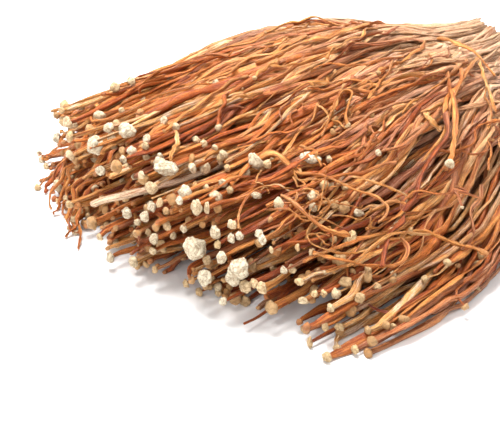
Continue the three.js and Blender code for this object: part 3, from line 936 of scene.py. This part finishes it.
shrivel = {
    "ridge": (0.16, 0.36),
    "ridgeKnots": 9,
    "ridgeSpread": (0.6, 0.8),  # by chance, and from one side to the next
    "ridgeMost": 1.2,
    "flatten": (0.06, 0.42),
    "flattenKnots": 6,
    "flattenMost": 0.5,
    "thickFrom": 0.8,  # thick stems are flattened half as much
    "thickOver": 0.4,
    "twist": (-4.5, 4.5),
    "pinch": 0.23,
    "pinchKnots": 24,
    "pinchLimits": (0.55, 1.4),
    "closeTips": (1.4, 0.5),  # the spacing of the rings at the foot and at the tip
    "rounding": 0.62,
    "roundedOver": 0.08,
    "roundedFrom": 0.45,
    "colourAcross": 1.1,
    "colourAlong": 2.4,
}


# The rings of a stem: how far along it they lie, and their share of its radius.
def stemRings(levels, length, stem):
    weights = mix(*shrivel["closeTips"], smooth((np.linspace(0, 1, levels - 4) - 0.5) / 0.5))
    spaced = np.concatenate([[0], np.cumsum((weights[1:] + weights[:-1]) / 2)])
    first, end, rounding = stem * shrivel["roundedFrom"], stem * shrivel["roundedOver"], shrivel["rounding"]
    spaced = first + spaced / spaced[-1] * (length - 2 * first)
    reach = np.concatenate([[0, end], spaced, [length - end, length]])
    return reach, np.concatenate([[0, rounding], np.ones(levels - 4), [rounding, 0]])


# A shrivelled stem along a centre line: ridged, flattened one way or the other and turning as it goes.
def stemShape(template, line, stem, draws, whole=True):
    levels, sides = template["levels"], template["sides"]
    level, turn = template["level"], template["turn"]

    def knotted(knots, values):
        return np.interp(share, np.linspace(0, 1, knots), values)

    gaps = np.linalg.norm(np.diff(line, axis=0), axis=1)
    arc = np.concatenate([[0], np.cumsum(gaps)])
    reach, rounding = stemRings(levels, arc[-1], stem)
    centres = np.stack([np.interp(reach, arc, line[:, k]) for k in range(3)], 1)
    asides, ups = carried(centres)
    share = reach / arc[-1]
    # Ridges run along the stem, and each fades in and out.
    ridge = mix(*shrivel["ridge"], draws.random())
    byChance, bySide = shrivel["ridgeSpread"]
    knots = shrivel["ridgeKnots"]
    coarse = draws.normal(0, byChance, (knots, sides)) + np.where(np.arange(sides) % 2, -bySide, bySide)
    field = np.stack([knotted(knots, coarse[:, k]) for k in range(sides)], 1)
    field = np.clip(field, -shrivel["ridgeMost"], shrivel["ridgeMost"])
    column = np.rint(turn / (2 * math.pi) * sides).astype(int) % sides
    ridged = field[level, column]
    pinch = 1 + shrivel["pinch"] * knotted(shrivel["pinchKnots"], draws.normal(0, 1, shrivel["pinchKnots"]))
    thick = smooth((stem - shrivel["thickFrom"]) / shrivel["thickOver"])
    flatten = mix(*shrivel["flatten"], draws.random()) * mix(1, 0.5, thick)
    knots = shrivel["flattenKnots"]
    flatten = flatten * (1 + 0.5 * knotted(knots, draws.normal(0, 1, knots)))
    flatten = np.clip(flatten, 0, shrivel["flattenMost"])
    twist = 2 * math.pi * draws.random() + mix(*shrivel["twist"], draws.random()) * share
    profile = stem * rounding * np.clip(pinch, *shrivel["pinchLimits"]) * (stemRadius(share) if whole else 1)
    radius = profile[level] * (1 + ridge * ridged)
    across, up = np.cos(turn) * (1 + flatten[level]), np.sin(turn) * (1 - flatten[level])
    angle = twist[level]
    x = (across * np.cos(angle) - up * np.sin(angle)) * radius
    y = (across * np.sin(angle) + up * np.cos(angle)) * radius
    points = centres[level] + asides[level] * x[:, None] + ups[level] * y[:, None]
    offset = 40 * draws.random(3)
    turned = [np.cos(turn) * shrivel["colourAcross"], np.sin(turn) * shrivel["colourAcross"]]
    # The dents between the ridges go to the skin, which darkens them as painted shade.
    dents = np.clip(0.5 - 0.5 * ridged, 0, 1)
    return {
        "points": points,
        "strand": np.stack([*turned, reach[level] / shrivel["colourAlong"]], -1) + offset,
        "part": np.stack([np.zeros(len(points)), mix(0 if whole else 0.6, 1, share[level]), dents], -1),
    }


capForm = {
    "tilt": 0.35,
    "oval": (0.88, 1.14),
    "lumps": 0.26,
    "lumpScale": 1.5,
    "creases": 0.13,
    "wideCreases": (4.5, 1.7),  # how narrow they are, and their scale
    "fineCreases": (4, 3.3),
    "fineShare": 0.5,
    "size": 1.02,
    "centre": 0.2,
    "colourScale": 0.9,
}


# How lumpy and how creased a cap is at each of its points.
def capCreases(unit, offset):
    lumps, creases = np.empty(len(unit)), np.empty(len(unit))
    wideNarrow, wideScale = capForm["wideCreases"]
    fineNarrow, fineScale = capForm["fineCreases"]
    for k, point in enumerate(unit):
        place = Vector(point)
        lumps[k] = noise.noise(place * capForm["lumpScale"] + offset)
        creases[k] = max(0.0, 1 - wideNarrow * abs(noise.noise(place * wideScale + offset * 2)))
        fine = max(0.0, 1 - fineNarrow * abs(noise.noise(place * fineScale + offset)))
        creases[k] += capForm["fineShare"] * fine
    return lumps, creases


# A shrivelled cap on the end of a centre line, lumpy and creased, and tilted a little.
def capShape(size, line, radius, draws, widen=1.0, wrinkled=1.0, flat=1.0):
    template, section = capTemplates[size]
    heading = line[-1] - line[-4]
    heading = heading / np.linalg.norm(heading)
    aside = np.cross(heading, draws.normal(0, 1, 3))
    aside /= np.linalg.norm(aside)
    up = np.cross(aside, heading)
    heading = heading + aside * draws.normal(0, capForm["tilt"])
    heading /= np.linalg.norm(heading)
    aside = np.cross(up, heading)
    up = np.cross(heading, aside)
    level, turn = template["level"], template["turn"]
    around = np.where(template["onAxis"], 0, section[level, 0])
    unit = np.stack([around * np.cos(turn), around * np.sin(turn), section[level, 1] * flat], -1)
    unit[:, 0] *= mix(*capForm["oval"], draws.random())
    lumps, creases = capCreases(unit, Vector(40 * draws.random(3)))
    scale = radius * (capForm["size"] + capForm["lumps"] * lumps - capForm["creases"] * wrinkled * creases)
    local = unit * scale[:, None]
    points = line[-1] + local[:, :1] * aside + local[:, 1:2] * up + local[:, 2:] * heading
    centre = line[-1] + heading * radius * capForm["centre"]
    wider = math.sqrt(widen)
    away = points - centre
    points = centre + away * (1, 1, 1 / wider) + np.outer(away @ rightwards, rightwards) * (wider - 1)
    return {
        "points": points,
        "strand": local * capForm["colourScale"] + 40 * draws.random(3),
        # The creases go to the skin as well, which darkens them: partly the caps' own tan, partly painted
        # shade.
        "part": np.stack([np.ones(len(points)), np.ones(len(points)), np.clip(creases, 0, 1)], -1),
    }


# Adds the tones of the whole shape: tint of the stem, tone of the cap and how mauve it is.
def toned(shape, template, tint, capTone=0.0, blush=0.0):
    shape["tone"] = np.tile([tint, capTone, blush], (len(shape["points"]), 1))
    shape["mesh"] = template["mesh"]
    return shape


# One mesh of many stems and caps.
def makePiece(name, shapes, material):
    bm = bmesh.new()
    for shape in shapes:
        bm.from_mesh(shape["mesh"])
    mesh = bpy.data.meshes.new(name)
    bm.to_mesh(mesh)
    bm.free()
    points = np.concatenate([shape["points"] for shape in shapes]) * mm
    points[:, 2] = np.maximum(points[:, 2], 0)
    mesh.vertices.foreach_set("co", points.ravel())
    for key in ("strand", "part", "tone"):
        values = np.concatenate([shape[key] for shape in shapes]).astype(np.float32)
        attribute = mesh.attributes.new(key, "FLOAT_VECTOR", "POINT")
        attribute.data.foreach_set("vector", values.ravel())
    mesh.polygons.foreach_set("use_smooth", [True] * len(mesh.polygons))
    mesh.materials.append(material)
    mesh.update()
    piece = bpy.data.objects.new(name, mesh)
    bpy.context.collection.objects.link(piece)
    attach(piece, "root")
    return piece


# Painted shade and light: each layer's colour is multiplied by its own value, darker for the lower clumps and
# lighter for the loose ones on top, as if lit less below and more on top.
layerShade = {"lower_clumps": 0.88, "upper_clumps": 1.0, "loose_mushrooms": 1.05}  # how light each one is
skin = {
    "tints": [
        (0.0, (0.26, 0.048, 0.009)),
        (0.25, (0.49, 0.116, 0.021)),
        (0.5, (0.66, 0.212, 0.045)),
        (0.75, (0.78, 0.35, 0.098)),
        (0.9, (0.80, 0.47, 0.20)),
        (1.0, (0.88, 0.64, 0.44)),
    ],
    "mauve": (0.60, 0.28, 0.165),
    "foot": (0.77, 0.53, 0.345),
    "caps": [(0.0, (0.60, 0.28, 0.09)), (0.5, (0.86, 0.61, 0.32)), (1.0, (0.95, 0.84, 0.62))],
    # The creases' colour: partly the caps' own tan, partly painted shade.
    "crease": (0.50, 0.28, 0.12),
    # Painted shade in the grooves and painted highlight on the crests, as multipliers of the stem's colour.
    "grooveShadeCrestHighlight": [(0.17, (0.48, 0.24, 0.11)), (0.5, (0.92, 0.92, 0.92)), (0.86, (1.36, 1.34, 1.22))],
    "specular": 0.36,
    "relief": (0.85, 0.0003),  # strength and distance
    "fineRelief": (0.6, 0.0005),
    "foldRelief": 1.1,
    "foldShare": 0.66,
}
grain = {  # scale, detail, stretch and roughness of each noise
    "ribs": (0.8, 3, (1.3, 1.3, 0.13), 0.5),
    "streaks": (1.7, 5, (1.5, 1.5, 0.14), 0.62),
    "blotches": (0.55, 3, (1, 1, 0.7)),
    "wrinkles": (2.6, 4),
    "folds": (0.8, 2, None, 0.5),
    "fibres": (5.5, 3, (1.3, 1.3, 0.07), 0.6),
}
levels = {  # the lowest and highest input of each, and what they become
    "fold": (0.008, 0.05, 1, 0),
    "drift": (0.25, 0.75, -0.24, 0.24),
    "blush": (0.35, 0.6, 0.2, 1),
    "foot": (0.74, 0.14, 0, 0.86),
    "streakGrooves": (0.39, 0.6, 0, 0.3),
    "ribGrooves": (0.38, 0.62, 0, 0.36),
    "dentGrooves": (1, 0, 0, 0.22),
    "fibreGrooves": (0.35, 0.65, -0.22, 0.37),
    # The next two: painted shade in the pits of the fine relief, on stems and on caps.
    "stemPitShade": (0.5, 0.33, 0, 0.5),
    "capPitShade": (0.5, 0.36, 0, 0.16),
    "capCreases": (0.3, 1, 0, 0.5),
    "roughness": (0.3, 0.7, 0.46, 0.27),
}


# Amber stems with grooves, crests and fibres along them, and creased cream caps. Their colour holds painted
# shade in the grooves, creases and pits of the relief, and painted highlight on the stems' crests.
def mushroomSkin(slot):
    material = bpy.data.materials.new(slot)
    material.use_nodes = True
    nodes, links = material.node_tree.nodes, material.node_tree.links
    shader = nodes["Principled BSDF"]

    def node(kind, **values):
        made = nodes.new(kind)
        for key, value in values.items():
            if key in made.inputs:
                made.inputs[key].default_value = value
            else:
                setattr(made, key, value)
        return made

    def feed(socket, value):
        if isinstance(value, (int, float)):
            socket.default_value = value
        elif isinstance(value, tuple):
            socket.default_value = (*value, 1)
        else:
            links.new(value, socket)

    def parts(name):
        made = node("ShaderNodeSeparateXYZ")
        links.new(node("ShaderNodeAttribute", attribute_name=name).outputs["Vector"], made.inputs[0])
        return made.outputs

    def ramp(source, stops):
        made = node("ShaderNodeValToRGB")
        while len(made.color_ramp.elements) < len(stops):
            made.color_ramp.elements.new(0.5)
        for element, (place, colour) in zip(made.color_ramp.elements, stops):
            element.position, element.color = place, (*colour, 1)
        links.new(source, made.inputs[0])
        return made.outputs[0]

    def blend(share, a, b, kind="MIX"):
        made = node("ShaderNodeMix", data_type="RGBA", blend_type=kind)
        for socket, value in zip((made.inputs[0], made.inputs[6], made.inputs[7]), (share, a, b)):
            feed(socket, value)
        return made.outputs[2]

    def calculate(operation, a, b):
        made = node("ShaderNodeMath", operation=operation)
        feed(made.inputs[0], a)
        feed(made.inputs[1], b)
        return made.outputs[0]

    def remap(source, name):
        made = node("ShaderNodeMapRange")
        links.new(source, made.inputs[0])
        for index, value in enumerate(levels[name]):
            made.inputs[index + 1].default_value = value
        return made.outputs[0]

    def clouds(source, scale, detail, stretch=None, roughness=0.6):
        made = node("ShaderNodeTexNoise", Scale=scale, Detail=detail, Roughness=roughness)
        if stretch:
            mapping = node("ShaderNodeMapping")
            mapping.inputs["Scale"].default_value = stretch
            links.new(source, mapping.inputs["Vector"])
            source = mapping.outputs[0]
        links.new(source, made.inputs["Vector"])
        return made.outputs[0]

    strand = node("ShaderNodeAttribute", attribute_name="strand").outputs["Vector"]
    isCap, share, dent = parts("part")
    tint, capTone, blush = parts("tone")
    ribs = clouds(strand, *grain["ribs"])
    streaks = clouds(strand, *grain["streaks"])
    blotches = clouds(strand, *grain["blotches"])
    wrinkles = clouds(strand, *grain["wrinkles"])
    folds = calculate("ABSOLUTE", calculate("SUBTRACT", clouds(strand, *grain["folds"]), 0.5), 0)
    folds = calculate("MULTIPLY", remap(folds, "fold"), isCap)

    # Stems: each has its own tint that changes slowly along it, with streaks of its own colour, painted shade
    # in the grooves and painted highlight on the crests.
    drifting = calculate("ADD", tint, remap(blotches, "drift"))
    stem = ramp(drifting, skin["tints"])
    stem = blend(calculate("MULTIPLY", blush, remap(blotches, "blush")), stem, skin["mauve"])
    stem = blend(remap(share, "foot"), stem, skin["foot"])
    fibres = clouds(strand, *grain["fibres"])
    coarse = calculate("ADD", remap(streaks, "streakGrooves"), remap(ribs, "ribGrooves"))
    coarse = calculate("ADD", coarse, remap(dent, "dentGrooves"))
    grooves = calculate("ADD", coarse, remap(fibres, "fibreGrooves"))
    # Painted shade in the grooves and painted highlight on the crests, following the relief, mixed with
    # streaks of the stem's own colour.
    stem = blend(1.0, stem, ramp(grooves, skin["grooveShadeCrestHighlight"]), "MULTIPLY")
    # Painted shade: darker, towards the darkest tint, in the pits of the fine relief.
    stem = blend(remap(wrinkles, "stemPitShade"), stem, skin["tints"][0][1])
    # Caps: paler, darker in their creases, partly the caps' own tan and partly painted shade in the creases
    # and pits of the relief.
    cap = ramp(capTone, skin["caps"])
    cap = blend(remap(wrinkles, "capPitShade"), cap, skin["crease"])
    cap = blend(remap(dent, "capCreases"), cap, skin["crease"])
    cap = blend(calculate("MULTIPLY", folds, skin["foldShare"]), cap, skin["crease"])
    colour = blend(isCap, stem, cap)
    # The layer's painted shade below and painted light on top.
    colour = blend(1.0, colour, (layerShade[slot],) * 3, "MULTIPLY")
    links.new(colour, shader.inputs["Base Color"])
    links.new(remap(streaks, "roughness"), shader.inputs["Roughness"])
    shader.inputs["Specular IOR Level"].default_value = skin["specular"]

    def relief(height, strength, distance):
        made = node("ShaderNodeBump", Strength=strength, Distance=distance)
        links.new(height, made.inputs["Height"])
        return made

    coarseRelief = relief(grooves, *skin["relief"])
    fine = relief(
        calculate("SUBTRACT", wrinkles, calculate("MULTIPLY", folds, skin["foldRelief"])), *skin["fineRelief"]
    )
    links.new(coarseRelief.outputs[0], fine.inputs["Normal"])
    links.new(fine.outputs[0], shader.inputs["Normal"])
    return material


skins = {slot: mushroomSkin(slot) for slot in layerShade}

tones = {
    "tint": (0.46, 0.52),  # each pair on the near side and on the far one
    "spread": (0.3, 0.22),
    "limits": (0.02, 0.88),
    "farFrom": -0.5,
    "farOver": 1.1,
    "paleShare": 0.05,
    "pale": (0.74, 0.92),
    "blushShare": (0.22, 0.05),
    "blush": (0.35, 0.9),
    "barePale": 1.2,
}
stemEnds = {  # the small caps and the bare buds
    "largeFrom": 2.2,
    "smallShare": 0.36,
    "small": (1.0, 1.45),
    "byStem": (0.9, 1.1),
    "builtShare": 0.8,
    "builtMost": 2.0,
    "shownFrom": 1.6,
    "smallWrinkled": 0.7,
    "smallFlat": 0.95,
    "smallTone": (0.0, 0.75),
    "bud": (0.65, 1.15),
    "budTall": 1.5,
    "budPart": (0.1, 0.7),
    "budTint": 0.85,
    "budTone": (0.0, 0.45),
}


# A stem's tint and how mauve it is: browner on the near side, and more amber on the far one.
def tonesAt(sideHere):
    far = smooth((sideHere - tones["farFrom"]) / tones["farOver"])
    drawn = draw.normal(mix(*tones["tint"], far), mix(*tones["spread"], far))
    tint = float(np.clip(drawn, *tones["limits"]))
    if draw.random() < tones["paleShare"]:
        tint = mix(*tones["pale"], draw.random())
    mauve = draw.random() < mix(*tones["blushShare"], far)
    return tint, mix(*tones["blush"], draw.random()) if mauve else 0.0


# A stem and its tones. Those that lie loose are thinner, with fewer sides.
def grownStem(line, radius, draws, tint, blush=0.0, loose=False):
    template = strandTemplate if loose else stemTemplate
    return toned(stemShape(template, line, radius, draws, not loose), template, tint, 0, blush)


def grownCap(size, line, radius, draws, tint, tone, widen=1.0):
    return toned(capShape(size, line, radius, draws, widen), capTemplates[size][0], tint, tone)


# The small cap of a stem that lies loose.
def looseCap(line, radius, draws, tint):
    cap = capShape("small", line, radius, draws, 1.0, stemEnds["smallWrinkled"])
    return toned(cap, capTemplates["small"][0], tint, draws.random())


# The stem of planned mushroom i, and its cap or the bare bud that it ends in.
def growMushroom(i):
    draws = np.random.default_rng(500 + i)
    line, stem = centreLines[i], plan["stem"][i]
    tint, blush = tonesAt(side[i].mean())
    if i == bareOnes["pale"]:
        tint, blush = tones["barePale"], 0.0
    shapes = [grownStem(line, stem, draws, tint, blush)]
    if capRow[i] >= 0:
        _, _, wide, high, tone = shownCaps[capRow[i]]
        radius = capRadii[capRow[i]]
        size = "large" if radius > stemEnds["largeFrom"] else "shown"
        return shapes + [grownCap(size, line, radius, draws, tint, tone, wide / high)]
    if i in bareOnes.values():
        return shapes
    if draws.random() < stemEnds["smallShare"] or plan["built"][i] and plan["cap"][i] > stemEnds["largeFrom"]:
        radius = mix(*stemEnds["small"], draws.random()) * mix(*stemEnds["byStem"], stem)
        if plan["built"][i]:
            radius = max(radius, min(plan["cap"][i] * stemEnds["builtShare"], stemEnds["builtMost"]))
        size = "shown" if radius > stemEnds["shownFrom"] else "small"
        cap = capShape(size, line, radius, draws, 1.0, stemEnds["smallWrinkled"], stemEnds["smallFlat"])
        tone = mix(*stemEnds["smallTone"], draws.random() ** 1.3)
        return shapes + [toned(cap, capTemplates[size][0], tint, tone)]
    radius = stem * mix(*stemEnds["bud"], draws.random())
    bud = capShape("small", line, radius, draws, 1.0, 1.0, stemEnds["budTall"])
    bud["part"][:, 0] = mix(*stemEnds["budPart"], draws.random())
    tone = mix(*stemEnds["budTone"], draws.random())
    return shapes + [toned(bud, capTemplates["small"][0], tint * stemEnds["budTint"], tone)]


for clumpIndex, (node, upper, *_) in enumerate(clumps):
    slot = "upper_clumps" if upper else "lower_clumps"
    shapes = [shape for i in np.flatnonzero(plan["clump"] == clumpIndex) for shape in growMushroom(i)]
    piece = makePiece(f"{node}_mushrooms", shapes, skins[slot])
    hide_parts(node)
    print("grew", node, len(piece.data.polygons), "faces")

loose = {"samples": 120, "tint": 0.62, "capTint": 0.5, "capShare": 0.9, "firstCapShare": 1.45}
for k, (stem, cap, tone, route) in enumerate(looseMushrooms, 1):
    draws = np.random.default_rng(900 + k)
    line = layOver(route, stem, loose["samples"])
    radius = cap * loose["firstCapShare" if k == 1 else "capShare"]
    shapes = [
        grownStem(line, stem, draws, loose["tint"], loose=True),
        grownCap("shown", line, radius, draws, loose["capTint"], tone),
    ]
    piece = makePiece(f"loose_{k}", shapes, skins["loose_mushrooms"])
    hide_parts(f"loose_mushroom_{k}")
print("laid", len(looseMushrooms), "loose mushrooms")

# Thin strands that curl over the near side, besides those that are named one by one.
tangle = {
    "count": 16,
    "side": (-0.72, -0.44),
    "along": (0.76, 0.88),
    "stem": (0.16, 0.27),
    "turns": (1.5, 5.0),
    "loop": (0.008, 0.032),
    "grows": (0.5, 1.6),
    "drift": 0.035,
    "sideways": 2.2,
    "lift": (0.3, 2.6),
    "knots": 8,
    "tint": (0.55, 0.85),
}


# Radius and route of one of them.
def tangled(draws):
    knots = tangle["knots"]
    middle = np.array([mix(*tangle["side"], draws.random()), mix(*tangle["along"], draws.random())])
    started = 2 * math.pi * draws.random()
    turned = started + np.linspace(0, mix(*tangle["turns"], draws.random()), knots) * draws.choice((-1, 1))
    size = mix(*tangle["loop"], draws.random()) * np.linspace(1, mix(*tangle["grows"], draws.random()), knots)
    drifting = np.outer(np.linspace(-0.5, 0.5, knots), draws.normal(0, tangle["drift"], 2))
    loops = np.stack([np.cos(turned) * size * tangle["sideways"], np.sin(turned) * size], 1)
    least, most = tangle["lift"]
    lift = least + most * draws.random() * np.sin(np.linspace(0, math.pi, knots))
    places = middle + drifting + loops
    return mix(*tangle["stem"], draws.random()), np.concatenate([places, lift[:, None]], 1)


routes = [(stem, [(*fromView(*point)[:2], point[2]) for point in points]) for stem, points in strands]
routes += [tangled(np.random.default_rng(1100 + k)) for k in range(tangle["count"])]
shapes = []
for k, (stem, route) in enumerate(routes):
    draws = np.random.default_rng(950 + k)
    line = layOver(route, stem)
    strand = stemShape(strandTemplate, line, stem, draws, False)
    shapes.append(toned(strand, strandTemplate, mix(*tangle["tint"], draws.random())))
piece = makePiece("curled_strands", shapes, skins["loose_mushrooms"])
print("curled", len(routes), "strands")

# Stems that lie across the others on top, at odd angles, and broken pieces of them.
crossing = {
    "count": 72,
    "stem": (0.26, 0.62),
    "side": (-0.88, 0.6),
    "sideLimits": (-0.9, 0.62),
    "along": (0.2, 0.72),
    "length": (0.07, 0.28),
    "lastAlong": 0.9,
    "aside": (3, 13),
    "uneven": 1.0,
    "lift": (0.3, 0.5),
    "knots": 6,
    "samples": 80,
    "sunkShare": 0.8,
    "paler": 0.06,
    "palest": 0.74,
    "capShare": 0.3,
    "cap": (1.3, 2.0),  # in shares of the stem
}


def crossingRoute(draws):
    knots = crossing["knots"]
    startSide, startAlong = mix(*crossing["side"], draws.random()), mix(*crossing["along"], draws.random())
    endAlong = min(startAlong + mix(*crossing["length"], draws.random()), crossing["lastAlong"])
    aside = mix(*crossing["aside"], draws.random()) * (1 if draws.random() < 0.5 else -1)
    steps = np.linspace(0, 1, knots)
    routeAlong = mix(startAlong, endAlong, steps)
    spacing = laneSpacing(np.full(knots, startSide), routeAlong)
    routeSide = startSide + (aside * steps + draws.normal(0, crossing["uneven"], knots)) / spacing
    least, more = crossing["lift"]
    lift = least + more * draws.random(knots)
    return startSide, np.stack([np.clip(routeSide, *crossing["sideLimits"]), routeAlong, lift], 1)


shapes = []
for k in range(crossing["count"]):
    draws = np.random.default_rng(1200 + k)
    startSide, route = crossingRoute(draws)
    stem = mix(*crossing["stem"], draws.random())
    line = layOver(route, stem, crossing["samples"])
    raiseSurface(line, stem * crossing["sunkShare"])
    tint, blush = tonesAt(startSide)
    tint = min(tint + crossing["paler"], crossing["palest"])
    shapes.append(grownStem(line, stem, draws, tint, blush, loose=True))
    if draws.random() < crossing["capShare"]:
        shapes.append(looseCap(line, stem * mix(*crossing["cap"], draws.random()), draws, tint))

# Thin ones that have fallen over the shown end, most of them at the far corner.
fallen = {
    "count": 16,
    "stem": (0.35, 0.6),
    "side": (0.32, 0.9),
    "height": (0.15, 0.55),
    "from": (0.84, 0.91),
    "over": 0.93,
    "to": (0.95, 0.97),
    "aside": 0.07,
    "samples": 60,
    "kinkKnots": 9,
    "kink": 0.5,
    "palest": 0.6,
    "capShare": 0.4,
    "cap": (0.9, 1.5),
}


def fallenRoute(draws):
    startSide = mix(*fallen["side"], draws.random())
    startHeight = heapTop(startSide, 0.9) * mix(*fallen["height"], draws.random())
    aside, reach = draws.normal(0, fallen["aside"]), mix(*fallen["to"], draws.random())
    over = fallen["over"]
    return startSide, [
        (startSide, mix(*fallen["from"], draws.random()), startHeight),
        (startSide + aside * 0.2, over, startHeight * 0.95),
        (startSide + aside * 0.7, mix(over, reach, 0.6), startHeight * mix(0.45, 0.7, draws.random())),
        (startSide + aside * 1.2, reach, startHeight * 0.15 + 0.8),
        (startSide + aside * 1.6, reach + draws.normal(0, 0.008), 0.8),
    ]


for k in range(fallen["count"]):
    draws = np.random.default_rng(1400 + k)
    startSide, route = fallenRoute(draws)
    path = throughPoints(route, fallen["samples"])
    stem = mix(*fallen["stem"], draws.random())
    line = np.concatenate([lane(path[:, 0], path[:, 1]), np.maximum(path[:, 2:], stem)], 1)
    at, knots = np.linspace(0, 1, fallen["samples"]), np.linspace(0, 1, fallen["kinkKnots"])
    for axis in (0, 1):
        line[:, axis] += np.interp(at, knots, draws.normal(0, fallen["kink"], len(knots)))
    tint, blush = tonesAt(startSide)
    tint = min(tint, fallen["palest"])
    shapes.append(grownStem(line, stem, draws, tint, blush, loose=True))
    if draws.random() < fallen["capShare"]:
        shapes.append(looseCap(line, mix(*fallen["cap"], draws.random()), draws, tint))
piece = makePiece("crossing_stems", shapes, skins["upper_clumps"])
print("laid", crossing["count"] + fallen["count"], "stems over the others")

# Camera, floor and light.
cameraData = bpy.data.cameras.new("camera")
cameraData.lens, cameraData.sensor_width = view["lens"], view["sensor"]
camera = bpy.data.objects.new("camera", cameraData)
bpy.context.collection.objects.link(camera)
camera.location = (Vector(view["target"]) + Vector(towards) * view["distance"]) * mm
camera.rotation_mode = "QUATERNION"
camera.rotation_quaternion = (-Vector(towards)).to_track_quat("-Z", "Y")
cameraData.clip_start, cameraData.clip_end = 0.01, 20
bpy.context.scene.camera = camera

studio = {"floor": (0.86, 0.85, 0.84), "floorSize": 3, "floorRoughness": 0.9, "world": 0.58}
bm = bmesh.new()
bmesh.ops.create_grid(bm, x_segments=1, y_segments=1, size=studio["floorSize"])
floorMesh = bpy.data.meshes.new("floor")
bm.to_mesh(floorMesh)
bm.free()
floor = bpy.data.objects.new("floor", floorMesh)
bpy.context.collection.objects.link(floor)
floorMaterial = bpy.data.materials.new("floor")
floorMaterial.use_nodes = True
floorShader = floorMaterial.node_tree.nodes["Principled BSDF"]
floorShader.inputs["Base Color"].default_value = (*studio["floor"], 1)
floorShader.inputs["Roughness"].default_value = studio["floorRoughness"]
floorMesh.materials.append(floorMaterial)

world = bpy.data.worlds.new("studio")
world.use_nodes = True
background = world.node_tree.nodes["Background"]
background.inputs[0].default_value = (1, 1, 1, 1)
background.inputs[1].default_value = studio["world"]
bpy.context.scene.world = world

lamps = [  # name, place, size and power of each soft panel
    ("key", (0.03, 0.22, 0.70), 0.38, 12.8),
    ("side", (0.5, -0.3, 0.42), 0.2, 1.6),
    ("fill", (-0.72, -0.3, 0.33), 0.5, 3.5),
]
for name, place, size, power in lamps:
    data = bpy.data.lights.new(name, "AREA")
    data.shape, data.size, data.energy = "SQUARE", size, power
    lamp = bpy.data.objects.new(name, data)
    bpy.context.collection.objects.link(lamp)
    lamp.location = place
    lamp.rotation_mode = "QUATERNION"
    lamp.rotation_quaternion = (-Vector(place)).to_track_quat("-Z", "Y")

bpy.context.scene.view_settings.view_transform = "Standard"
print("lit the scene with", len(lamps), "lamps")
